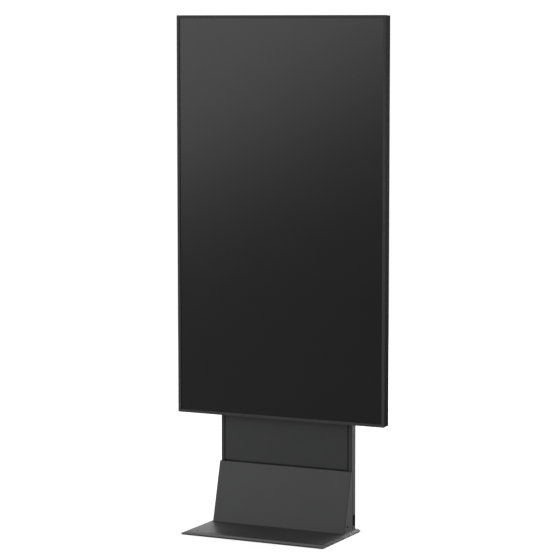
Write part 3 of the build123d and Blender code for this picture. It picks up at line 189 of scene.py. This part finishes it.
def finish(name, dark, light, patch, rough, grain, relief, constants=None, stretch=(1, 1, 1)):
    """A solid finish: its colour drifts over patches, its gloss and relief over grains."""
    material, tree, place, shader = start_material(name, constants or {})
    cloud = add_node(
        tree, "ShaderNodeTexNoise", {"Vector": place, "Scale": 1 / patch, "Detail": 3.0}
    )
    tint = add_node(
        tree,
        "ShaderNodeMix",
        {"Factor": cloud.outputs["Fac"], "A": linear(dark), "B": linear(light)},
        data_type="RGBA",
    )
    tree.links.new(tint.outputs["Result"], shader.inputs["Base Color"])
    drawn = add_node(tree, "ShaderNodeMapping", {"Vector": place, "Scale": stretch})
    speck = add_node(
        tree,
        "ShaderNodeTexNoise",
        {"Vector": drawn.outputs[0], "Scale": 1 / grain, "Detail": 2.0},
    )
    gloss = add_node(
        tree,
        "ShaderNodeMapRange",
        {"Value": speck.outputs["Fac"], "To Min": rough[0], "To Max": rough[1]},
    )
    tree.links.new(gloss.outputs["Result"], shader.inputs["Roughness"])
    bump = add_node(
        tree,
        "ShaderNodeBump",
        {"Height": speck.outputs["Fac"], "Strength": 0.3, "Distance": relief},
    )
    tree.links.new(bump.outputs[0], shader.inputs["Normal"])
    return material


# Polyester powder coat, sprayed and baked: a satin film with a fine orange peel, 1.2 mm from
# crest to crest, which softens what it reflects. The plate's is a lighter and duller copy of it.
powder_coat = finish(
    "anthracite_powder_coat", "434344", "494a4a", 0.060, (0.38, 0.46), 0.0012, 0.00003
)
floor_powder_coat = finish(
    "anthracite_powder_coat_dulled", "4c4c4d", "545455", 0.045, (0.46, 0.56), 0.0012, 0.00003
)
# The front bevel gets a lighter, more matt copy of the coat: its lightness is a painted
# highlight where the bevel faces the light.
bevel_painted_highlight_coat = finish(
    "anthracite_powder_coat_bevel_painted_highlight", "808081", "8a8a8b", 0.030, (0.50, 0.60), 0.0012, 0.00003
)


def choose(piece, wanted):
    """Opens a piece in edit mode with only the faces selected that the test accepts."""
    bpy.ops.object.mode_set(mode="EDIT")
    bpy.ops.mesh.select_mode(type="FACE")
    bpy.ops.mesh.select_all(action="DESELECT")
    bpy.ops.object.mode_set(mode="OBJECT")
    for face in piece.data.polygons:
        face.select = wanted(face)
    bpy.ops.object.mode_set(mode="EDIT")


def block(low, high):
    """A rectangular block between two corners, as the only thing selected."""
    bpy.ops.object.select_all(action="DESELECT")
    bpy.ops.mesh.primitive_cube_add(
        size=1.0,
        location=[(a + b) / 2 for a, b in zip(low, high)],
        scale=[b - a for a, b in zip(low, high)],
    )
    bpy.ops.object.transform_apply(location=True, rotation=True, scale=True)
    return bpy.context.object


def rod(place, radius, length, sides=48, turn=(0, 0, 0)):
    """A round or many-sided rod about its middle, along Z unless it is turned."""
    bpy.ops.object.select_all(action="DESELECT")
    bpy.ops.mesh.primitive_cylinder_add(
        vertices=sides, radius=radius, depth=length, location=place, rotation=turn
    )
    bpy.ops.object.transform_apply(location=True, rotation=True, scale=True)
    return bpy.context.object


def cut(piece, tools):
    """Takes the tools' shapes out of a piece, and clears the tools away."""
    for tool in tools:
        hole = piece.modifiers.new("hole", "BOOLEAN")
        hole.object, hole.operation, hole.solver = tool, "DIFFERENCE", "EXACT"
        bpy.context.view_layer.objects.active = piece
        bpy.ops.object.modifier_apply(modifier=hole.name)
        bpy.data.objects.remove(tool)


def ease(piece, edge, sharp=30, angle=20, segments=2):
    """Rounds a piece's edges by a small radius and evens its shading."""
    bpy.ops.object.select_all(action="DESELECT")
    piece.select_set(True)
    bpy.context.view_layer.objects.active = piece
    bevel = piece.modifiers.new("edge", "BEVEL")
    bevel.width, bevel.segments = edge, segments
    bevel.limit_method, bevel.angle_limit = "ANGLE", math.radians(angle)
    bpy.ops.object.modifier_apply(modifier=bevel.name)
    bpy.ops.object.mode_set(mode="EDIT")
    bpy.ops.mesh.select_all(action="SELECT")
    bpy.ops.mesh.remove_doubles(threshold=1e-6)
    bpy.ops.mesh.dissolve_degenerate(threshold=1e-6)
    bpy.ops.object.mode_set(mode="OBJECT")
    bpy.ops.object.shade_smooth_by_angle(angle=math.radians(sharp))
    even = piece.modifiers.new("even", "WEIGHTED_NORMAL")
    even.weight, even.keep_sharp = 100, True
    bpy.ops.object.modifier_apply(modifier=even.name)


def hand_over(piece, name, materials, slot, body, *nodes):
    """Names a finished piece, coats it, ties it to its body and lets it stand for CAD nodes."""
    piece.name = piece.data.name = name
    for material in materials:
        piece.data.materials.append(material)
    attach(piece, body)
    if nodes:
        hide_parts(*nodes)
    return piece


plate_low, plate_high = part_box("base_plate")
plate_lip = 0.003
plate_bevel = 0.011
anchor_x, anchor_inset, anchor_radius = 0.234, 0.039, 0.0045
plate_width, plate_depth = plate_high.x - plate_low.x, plate_high.y - plate_low.y
base_plate = block(plate_low, (plate_high.x, plate_high.y, plate_low.z + plate_lip))
choose(base_plate, lambda face: face.normal.z > 0.9)
rise = (0, 0, plate_high.z - plate_low.z - plate_lip)
bpy.ops.mesh.extrude_region_move(TRANSFORM_OT_translate={"value": rise})
bpy.ops.transform.resize(
    value=(1 - 2 * plate_bevel / plate_width, 1 - plate_bevel / plate_depth, 1),
    center_override=(0, plate_high.y, plate_high.z),
)
bpy.ops.object.mode_set(mode="OBJECT")
ease(base_plate, 0.0004)
drill_length = 0.03
drills = [
    rod((side * anchor_x, plate_low.y + anchor_inset, plate_low.z), anchor_radius, drill_length)
    for side in (-1, 1)
]
bracket_bolt_x, bracket_bolt_y, bracket_bolt_radius = (0.17, 0.21), 0.093, 0.004
drills += [
    rod((side * x, bracket_bolt_y, plate_low.z), bracket_bolt_radius, drill_length, 32)
    for side in (-1, 1)
    for x in bracket_bolt_x
]

# Four countersunk holes let the foot screws in from below. Each drill widens downwards from
# the top of its countersink, and passes the underside.
foot_screw_x, foot_screw_y, foot_screw_radius = 0.2472, (0.1303, 0.1483), 0.0043
shaft_length = 0.02
sink_depth, sink_past, sink_spread = 0.0036, 0.0009, 2.08
for side in (-1, 1):
    for y in foot_screw_y:
        centre = (side * foot_screw_x, y, plate_low.z + sink_depth)
        shaft_middle = (centre[0], y, centre[2] + shaft_length / 2)
        drill = rod(shaft_middle, foot_screw_radius, shaft_length, 32)
        choose(drill, lambda face: face.normal.z < -0.9)
        sink = (0, 0, -sink_depth - sink_past)
        bpy.ops.mesh.extrude_region_move(TRANSFORM_OT_translate={"value": sink})
        bpy.ops.transform.resize(value=(sink_spread, sink_spread, 1), center_override=centre)
        bpy.ops.object.mode_set(mode="OBJECT")
        drills.append(drill)
cut(base_plate, drills)
bpy.ops.object.shade_smooth_by_angle(angle=math.radians(30))
hand_over(
    base_plate,
    "base_plate_milled",
    [floor_powder_coat, bevel_painted_highlight_coat],
    "powder_coat",
    "root",
    "base_plate",
)
# The front bevel's faces take the lighter copy, a painted highlight.
for face in base_plate.data.polygons:
    face.material_index = 1 if face.normal.y < -0.2 and face.normal.z > 0.8 else 0

# ---- floor pads -------------------------------------------------------------------------
# Six round pads under the plate, moulded in black rubber and glued on. Each has three V-shaped
# ring grooves underneath, and a rounded rim.

# Natural rubber, moulded and dusted: dead matt and near black, with a faint bloom.
rubber = finish(
    "black_moulded_rubber", "131313", "1b1b1b", 0.012, (0.72, 0.86), 0.0009, 0.00005,
    {"Specular IOR Level": 0.3},
)


def paint(material, *nodes):
    """Gives CAD nodes that keep their own shape their finish."""
    for node in nodes:
        frame["nodes"][node].data.materials.clear()
        frame["nodes"][node].data.materials.append(material)


def repeat(pattern, places, turns=None):
    """Copies a pattern to its places, each copy with its own mesh, and clears the pattern away."""
    copies = []
    for place, turn in zip(places, turns or [(0, 0, 0)] * len(places)):
        each = pattern.copy()
        each.data = pattern.data.copy()
        each.location, each.rotation_euler = place, turn
        bpy.context.scene.collection.objects.link(each)
        copies.append(each)
    bpy.data.objects.remove(pattern)
    return copies


def join(pieces):
    """Joins like pieces into one, with its origin at the frame's."""
    bpy.ops.object.select_all(action="DESELECT")
    for piece in pieces:
        piece.select_set(True)
    bpy.context.view_layer.objects.active = pieces[0]
    bpy.ops.object.transform_apply(location=True, rotation=True, scale=True)
    bpy.ops.object.join()
    return pieces[0]


pad_low, pad_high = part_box("floor_pads")
pad_radius, groove_half, groove_depth = 0.02, 0.0008, 0.0006
pad = rod((0, 0, (pad_low.z + pad_high.z) / 2), pad_radius, pad_high.z - pad_low.z, 64)
for spacing in (0.0035, 0.0045, 0.0035):
    choose(pad, lambda face: face.normal.z < -0.9 and len(face.vertices) > 8)
    bpy.ops.mesh.inset(thickness=spacing, depth=0.0)
    bpy.ops.mesh.inset(thickness=groove_half, depth=-groove_depth)
    bpy.ops.mesh.inset(thickness=groove_half, depth=groove_depth)
bpy.ops.object.mode_set(mode="OBJECT")
ease(pad, 0.0003, angle=35)
pad_x = (pad_low.x + pad_radius, 0.0, pad_high.x - pad_radius)
pad_y = (pad_low.y + pad_radius, pad_high.y - pad_radius)
pads = join(repeat(pad, [(x, y, 0) for x in pad_x for y in pad_y]))
hand_over(pads, "floor_pads_ribbed", [rubber], "foam_rubber", "root", "floor_pads")

# ---- uprights ---------------------------------------------------------------------------
# Two folded profiles of 2 mm sheet carry the display. Each shows a narrow strip in front, its
# whole side, and a flange behind, with the bend's radius at every corner. Powder coated.


def formed(node, edge, materials, slot, sharp=32):
    """Welds a copy of a formed piece, rounds its cut edges and gives it even shading."""
    source = frame["nodes"][node]
    piece = bpy.data.objects.new(node, source.data.copy())
    piece.data.materials.clear()
    bpy.context.scene.collection.objects.link(piece)
    bpy.ops.object.select_all(action="DESELECT")
    piece.select_set(True)
    bpy.context.view_layer.objects.active = piece
    bpy.ops.object.mode_set(mode="EDIT")
    bpy.ops.mesh.select_all(action="SELECT")
    bpy.ops.mesh.remove_doubles(threshold=2e-6)
    bpy.ops.mesh.dissolve_limited(angle_limit=math.radians(0.2))
    bpy.ops.object.mode_set(mode="OBJECT")
    ease(piece, edge, sharp)
    return hand_over(piece, node + "_formed", materials, slot, source["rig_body"], node)


for side in ("left", "right"):
    formed(f"column_{side}_upright", 0.0003, [powder_coat], "powder_coat")

# ---- front panel and cross members ------------------------------------------------------
# A shallow folded tray closes the column's front. Four folded channels behind it are welded to
# the uprights' ledges. A black rubber bead, pressed into the joint on each side of the panel,
# keeps dust out; its grey is painted shade, setting how dark the joint's faint line reads.
formed("column_front_panel", 0.0003, [powder_coat], "powder_coat")
# The channels are coated like the rest; their dark coat also stands in for the shade in the gap
# above the foot cover, as painted shade.
formed("cross_members", 0.0004, [powder_coat], "powder_coat")

# EPDM, extruded: softly matt and a little greyer than moulded rubber.
bead_rubber = finish(
    "extruded_rubber_bead", "303030", "383838", 0.020, (0.60, 0.70), 0.0010, 0.00002
)
panel_low, panel_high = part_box("column_front_panel")
strip_inner, bead_gap = 0.2502, 0.0001
bead_recess, bead_thickness, bead_crown = 0.0012, 0.004, 0.0006
# The beads' grey stands in for the shade in the joints: painted shade.
for side, name in ((-1, "left"), (1, "right")):
    inner, outer = sorted((side * (panel_high.x + bead_gap), side * (strip_inner - bead_gap)))
    front = panel_low.y + bead_recess
    bead = block((inner, front, panel_low.z), (outer, front + bead_thickness, panel_high.z))
    choose(bead, lambda face: face.normal.y < -0.9)
    bpy.ops.mesh.inset(thickness=0.0009, depth=0.0)
    bpy.ops.transform.translate(value=(0, -bead_crown, 0))
    bpy.ops.object.mode_set(mode="OBJECT")
    ease(bead, 0.0004, angle=15, segments=3)
    hand_over(bead, f"panel_bead_{name}", [bead_rubber], "foam_rubber", "root")

# ---- foot web, brackets and bolts -------------------------------------------------------
# Inside the foot, a 4 mm web plate and two welded brackets tie the column to the base plate
# with M8 bolts. The small angles at the sides take the cover's screws. Coated like the rest;
# the web's dark coat also stands in for the shade in the gap above the foot cover, as painted
# shade.
formed("foot_web", 0.0004, [powder_coat], "powder_coat")
formed("foot_brackets", 0.0006, [powder_coat], "powder_coat")
formed("cover_tabs", 0.0004, [powder_coat], "powder_coat")

# Zinc plate, passivated clear: bright bluish grey, with soft clouds about 2 cm wide.
zinc = finish(
    "clear_zinc_plate", "a9adb2", "bfc2c6", 0.020, (0.30, 0.44), 0.0040, 0.00002,
    {"Metallic": 1.0},
)
formed("foot_bracket_bolts", 0.0004, [zinc], "zinc_steel")
formed("hex_nuts", 0.0004, [zinc], "zinc_steel")

# Black oxide on steel screws: a dark, slightly oily metal.
black_oxide = finish(
    "black_oxide_steel", "1d1d1e", "29292b", 0.004, (0.34, 0.46), 0.0008, 0.00001,
    {"Metallic": 1.0},
)
formed("foot_screws", 0.0003, [black_oxide], "black_screw")

# ---- foot cover -------------------------------------------------------------------------
# A sloped hood of 1.5 mm sheet, bent and welded at its corners, coated, and slid over the
# foot. Its sides lap the uprights, and one button-head screw on each side holds it.
formed("foot_cover", 0.0003, [powder_coat], "powder_coat")


def button_screw(radius, height, shank_radius, shank, socket):
    """A button-head screw along +Z, its head's underside at the origin, ready to be copied."""
    width, level = 1.0, 0.3
    screw = rod((0, 0, height * level / 2), radius, height * level, 40)
    for lift, spread in ((0.58, 0.93), (0.80, 0.80), (0.94, 0.62), (1.0, 0.42)):
        choose(screw, lambda face: face.normal.z > 0.99 and face.area > 1e-9)
        climb = (0, 0, (lift - level) * height)
        bpy.ops.mesh.extrude_region_move(TRANSFORM_OT_translate={"value": climb})
        bpy.ops.transform.resize(
            value=(spread / width, spread / width, 1), center_override=(0, 0, lift * height)
        )
        bpy.ops.object.mode_set(mode="OBJECT")
        width, level = spread, lift
    choose(screw, lambda face: face.normal.z < -0.99)
    bpy.ops.mesh.inset(thickness=radius - shank_radius, depth=0.0)
    bpy.ops.mesh.extrude_region_move(TRANSFORM_OT_translate={"value": (0, 0, -shank)})
    bpy.ops.object.mode_set(mode="OBJECT")
    socket_reach = 0.62 * height
    cut(screw, [rod((0, 0, height), socket / math.sqrt(3), 2 * socket_reach, 6)])
    ease(screw, 0.0001, sharp=35, angle=38)
    return screw


def drive(screw, name, places, turns, material, slot, node):
    """Copies a screw to its places, turned the right way, as one piece for its CAD node."""
    driven = join(repeat(screw, places, turns))
    body = frame["nodes"][node]["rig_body"]
    return hand_over(driven, name, [material], slot, body, node)


# Lacquered to match the cover: satin, a shade darker than the powder coat.
screw_lacquer = finish(
    "anthracite_screw_lacquer", "2e2e2f", "363637", 0.004, (0.36, 0.44), 0.0008, 0.00001
)
cover_low, cover_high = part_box("foot_cover")
cover_screw_y, cover_screw_z = 0.086, 0.033
drive(
    button_screw(radius=0.0052, height=0.0026, shank_radius=0.0029, shank=0.0045, socket=0.0040),
    "cover_screws_button_head",
    [(x, cover_screw_y, cover_screw_z) for x in (cover_low.x, cover_high.x)],
    [(0, -math.pi / 2, 0), (0, math.pi / 2, 0)],
    screw_lacquer,
    "black_screw",
    "cover_screws",
)

# Rubber edging, pressed on the rear edge of each lap, closes the joint to the upright. Its dark
# strip is painted shadow, standing in for the shade line where the lap meets the upright.
edging_width, edging_near, edging_far, edging_crown = 0.0050, 0.2634, 0.2642, 0.0003
for side, name in ((-1, "left"), (1, "right")):
    inner, outer = sorted((side * edging_near, side * edging_far))
    edging = block(
        (inner, cover_high.y + 0.0001, cover_low.z + 0.0002),
        (outer, cover_high.y + edging_width, cover_high.z),
    )
    choose(edging, lambda face: side * face.normal.x > 0.9)
    bpy.ops.mesh.inset(thickness=0.0009, depth=0.0)
    bpy.ops.transform.translate(value=(side * edging_crown, 0, 0))
    bpy.ops.object.mode_set(mode="OBJECT")
    ease(edging, 0.0002, angle=12)
    hand_over(edging, f"cover_painted_shadow_edging_{name}", [rubber], "foam_rubber", "root")

# ---- cable slots and grommets -----------------------------------------------------------
# A moulded trim lines the cable slot low in each side. Two round rubber grommets line the cable
# holes between the display, the column and the foot.
formed("slot_trims", 0.0003, [rubber], "foam_rubber")
formed("cable_grommets", 0.0006, [rubber], "foam_rubber")

# ---- rear of the column -----------------------------------------------------------------
# A fixed panel above, a narrow head piece, the service door and a sill close the column's
# back. All are shallow folded trays, coated. The fixed panel has four button-head screws. A
# flat cap closes the column's top.
for node in ("column_rear_panel", "door_header", "door_sill", "column_top_cap"):
    formed(node, 0.0003, [powder_coat], "powder_coat")
rear_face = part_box("column_rear_panel")[1].y
rear_screw_x, rear_screw_z = (-0.2402, 0.2402), (0.813, 1.3993)
drive(
    button_screw(radius=0.0040, height=0.0022, shank_radius=0.0020, shank=0.0140, socket=0.0025),
    "rear_panel_screws_button_head",
    [(x, rear_face, z) for x in rear_screw_x for z in rear_screw_z],
    [(-math.pi / 2, 0, 0)] * 4,
    black_oxide,
    "black_screw",
    "rear_panel_screws",
)

# ---- service door -----------------------------------------------------------------------
# The door hangs on two steel pins and closes against a foam strip. Its cam lock has a nickel
# plated housing and plug, with a key slot, and a zinc plated cam that turns behind the ledge.
formed("service_door", 0.0003, [powder_coat], "powder_coat")
paint(zinc, "hinge_pins")
paint(rubber, "door_seal")

# Nickel plate, polished first: a warm bright metal.
nickel = finish(
    "bright_nickel_plate", "c4c0b8", "d0ccc5", 0.010, (0.16, 0.24), 0.0020, 0.000005,
    {"Metallic": 1.0},
)
formed("lock_housing", 0.0004, [nickel], "bright_nickel")
formed("lock_plug", 0.0002, [nickel], "bright_nickel")
formed("lock_cam", 0.0004, [zinc], "zinc_steel")

# ---- mount rails and hooks --------------------------------------------------------------
# Two folded rails are bolted through the front panel to the cross members. Two long brackets
# on the display hook over them, and a locking screw under each lower hook stops it lifting.
formed("mount_rails", 0.0004, [powder_coat], "powder_coat")
formed("hook_brackets", 0.0004, [powder_coat], "powder_coat")
formed("rail_bolts", 0.0004, [zinc], "zinc_steel")
formed("vesa_screws", 0.0004, [black_oxide], "black_screw")
formed("locking_screws", 0.0004, [black_oxide], "black_screw")

# ---- display frame ----------------------------------------------------------------------
# An aluminium frame with flush corners holds the glass. Its front face is anodised and bead
# blasted, its sides are painted matt black with the rear cover.

# Anodised aluminium, blasted: a charcoal face with no direction, which scatters what it gets.
anodised = finish(
    "charcoal_anodised_aluminium", "525253", "5a5a5b", 0.030, (0.58, 0.66), 0.0010, 0.00001,
    {"Specular IOR Level": 0.04},
)
# Matt black paint on the frame's sides and the cover: it drinks light, with a fine tooth.
matt_black = finish(
    "matt_black_paint", "19191a", "1e1e1f", 0.050, (0.66, 0.78), 0.0009, 0.00002,
    {"Specular IOR Level": 0.03},
)
bezel = formed("front_bezel", 0.0003, [anodised, matt_black], "bezel_paint")
for face in bezel.data.polygons:
    face.material_index = 1 if face.normal.y > -0.7 else 0

# ---- touch glass and gasket -------------------------------------------------------------
# Chemically hardened cover glass, 4 mm thick, over the dark picture panel. Its front is etched
# against glare, so the room shows in it only as a soft gradient. A foam gasket seats it.
etched, tree, place, shader = start_material(
    "etched_touch_glass", {"Base Color": linear("0a0a0b"), "IOR": 1.5}
)
smear = add_node(tree, "ShaderNodeTexNoise", {"Vector": place, "Scale": 9.0, "Detail": 4.0})
haze = add_node(
    tree,
    "ShaderNodeMapRange",
    {"Value": smear.outputs["Fac"], "To Min": 0.24, "To Max": 0.27},
)
tree.links.new(haze.outputs["Result"], shader.inputs["Roughness"])
formed("touch_glass", 0.0004, [etched], "screen_glass")
paint(rubber, "glass_gasket")

# ---- picture panel, lamps and chassis ---------------------------------------------------
# Behind the glass: the switched-off picture panel, diffuser sheets, LED strips on a zinc
# plated tray, and a mill-finish aluminium chassis that ties them to the frame.
panel_film = finish(
    "switched_off_picture_panel", "050506", "070708", 0.080, (0.12, 0.16), 0.0020, 0.000001
)
paint(panel_film, "lcd_panel")
diffuser = finish(
    "opal_acrylic_sheet", "eeeeec", "f4f4f2", 0.100, (0.50, 0.60), 0.0015, 0.00001
)
paint(diffuser, "diffuser_stack")
# Extruded aluminium, as it left the die: fine lines run along the profile.
mill_aluminium = finish(
    "mill_finish_aluminium", "bfbfc2", "cdcdd0", 0.030, (0.28, 0.42), 0.0010, 0.00002,
    {"Metallic": 1.0}, (1, 1, 0.03),
)
paint(mill_aluminium, "chassis_frame", "tray_bosses")
paint(zinc, "backlight_tray")

# ---- circuit boards ---------------------------------------------------------------------
# Glass-fibre boards under green solder resist, with black moulded parts on their rear face.
# Copper tracks about 3 mm apart show through as lighter lines.
resist, tree, place, shader = start_material(
    "green_solder_resist", {"Roughness": 0.34, "IOR": 1.5}
)
tracks = add_node(
    tree,
    "ShaderNodeTexWave",
    {"Vector": place, "Scale": 105.82, "Distortion": 7.0, "Detail": 2.0},
    bands_direction="X",
)
edges = add_node(
    tree, "ShaderNodeMapRange", {"Value": tracks.outputs["Fac"], "From Min": 0.5, "From Max": 0.62}
)
green = add_node(
    tree,
    "ShaderNodeMix",
    {"Factor": edges.outputs["Result"], "A": linear("174a2c"), "B": linear("24693d")},
    data_type="RGBA",
)
tree.links.new(green.outputs["Result"], shader.inputs["Base Color"])
# Epoxy and ABS mouldings: black, with the spark-eroded texture of the mould.
black_abs = finish(
    "black_moulded_abs", "171718", "1d1d1e", 0.020, (0.40, 0.50), 0.0008, 0.00003
)
board_thickness, board_margin = 0.0016, 0.0001
for node in ("main_board", "power_board", "timing_board", "touch_board", "key_board"):
    board = formed(node, 0.0002, [resist, black_abs], "circuit_board")
    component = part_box(node)[0].y + board_thickness + board_margin
    for face in board.data.polygons:
        face.material_index = 1 if face.center.y > component else 0
paint(resist, "led_strips")
formed("speakers", 0.0008, [black_abs], "black_plastic")

# ---- rear cover -------------------------------------------------------------------------
# A deep tray of 1.2 mm sheet closes the display's back, with rows of vent slots at top and
# bottom and sound slots in its lower edge. Eighteen small screws hold its rim.
formed("rear_cover", 0.00025, [matt_black], "rear_paint")
formed("port_bay", 0.0002, [matt_black], "rear_paint")
formed("case_screws", 0.0002, [black_oxide], "black_screw")

# ---- ports ------------------------------------------------------------------------------
# Picture, network, data and touch sockets stand in a recessed bay, as nickel plated shells.
# All but the network socket have a black tongue, with gold plated contacts on both its faces.
formed("port_connectors", 0.00015, [nickel], "bright_nickel")
gold = finish(
    "gold_plated_contacts", "caa24a", "d6b05a", 0.004, (0.18, 0.28), 0.0010, 0.000002,
    {"Metallic": 1.0},
)
port_x, tongue_front, tongue_rear = 0.335, 0.0967, 0.1030
tongue_half, tongue_inset, contact_proud = 0.0010, 0.0014, 0.00013
contact_pitch, contact_half = 0.0011, 0.0003
tongues, contact_places = [], []
for width, heights in (
    (0.0126, (0.752, 0.728, 0.704)), (0.0150, (0.656,)), (0.0136, (0.632, 0.608)),
):
    half = width / 2 - tongue_inset
    tongue = block(
        (port_x - half, tongue_front, -tongue_half), (port_x + half, tongue_rear, tongue_half)
    )
    tongues += repeat(tongue, [(0, 0, z) for z in heights])
    count = int(2 * half / contact_pitch)
    row = [port_x + (i - (count - 1) / 2) * contact_pitch for i in range(count)]
    contact_places += [(x, 0, z) for z in heights for x in row]
contact_height = tongue_half + contact_proud
contact = block(
    (-contact_half, tongue_front + 0.0008, -contact_height),
    (contact_half, tongue_rear - 0.0006, contact_height),
)
contacts = repeat(contact, contact_places)

# The network socket's eight contacts stand in a row in its shell.
wire_pitch, wire_half = 0.00102, 0.00025
wire = block((-wire_half, tongue_front + 0.0012, 0.6830), (wire_half, 0.1022, 0.6838))
contacts += repeat(wire, [(port_x + (i - 3.5) * wire_pitch, 0, 0) for i in range(8)])
for pieces, edge, name, material, slot in (
    (tongues, 0.0002, "port_tongues", black_abs, "black_plastic"),
    (contacts, 0.00006, "port_contacts", gold, "bright_nickel"),
):
    row = join(pieces)
    ease(row, edge)
    hand_over(row, name, [material], slot, "root")

# ---- mains module -----------------------------------------------------------------------
# A moulded module snaps into the cover: an appliance inlet with three nickel plated pins, and
# a rocker switch below it.
formed("mains_module", 0.0004, [black_abs], "black_plastic")
formed("mains_rocker", 0.0005, [black_abs], "black_plastic")
inlet_x, inlet_z, pin_front, pin_rear = 0.335, 0.514, 0.0966, 0.1046
pin_half_width, pin_half_height, pin_tip = 0.0011, 0.0021, 0.0007
pin = block(
    (-pin_half_width, pin_front, -pin_half_height), (pin_half_width, pin_rear, pin_half_height)
)
choose(pin, lambda face: face.normal.y > 0.9)
bpy.ops.mesh.extrude_region_move(TRANSFORM_OT_translate={"value": (0, pin_tip, 0)})
bpy.ops.transform.resize(value=(0.5, 1, 0.7), center_override=(0, pin_rear, 0))
bpy.ops.object.mode_set(mode="OBJECT")
pin_places = ((-0.007, -0.002), (0.0, 0.002), (0.007, -0.002))
pins = join(repeat(pin, [(inlet_x + x, 0, inlet_z + z) for x, z in pin_places]))
ease(pins, 0.0002)
hand_over(pins, "inlet_pins", [nickel], "bright_nickel", "root")

# ---- keys -------------------------------------------------------------------------------
# Two round keys stand through the rear cover in front of their switches. Each is moulded in
# one piece, with a flange that keeps it behind the cover.
formed("key_power", 0.0003, [black_abs], "black_plastic")
formed("key_menu", 0.0003, [black_abs], "black_plastic")

# ---- media player -----------------------------------------------------------------------
# A flat box behind the service door, in a blasted and anodised aluminium case, on a zinc
# plated plate that bridges two cross members. Its button is moulded.
player_case = finish(
    "black_anodised_case", "242527", "2c2d30", 0.030, (0.36, 0.46), 0.0008, 0.00001,
    {"Metallic": 1.0},
)
formed("media_player", 0.0006, [player_case], "player_case")
formed("player_button", 0.0004, [black_abs], "black_plastic")
formed("player_plate", 0.0003, [zinc], "zinc_steel")

# ---- power strip ------------------------------------------------------------------------
# A moulded strip under the foot cover, with outlet inserts 1 mm proud and a rocker switch.
formed("power_strip", 0.0006, [black_abs], "black_plastic")
formed("strip_rocker", 0.0005, [black_abs], "black_plastic")
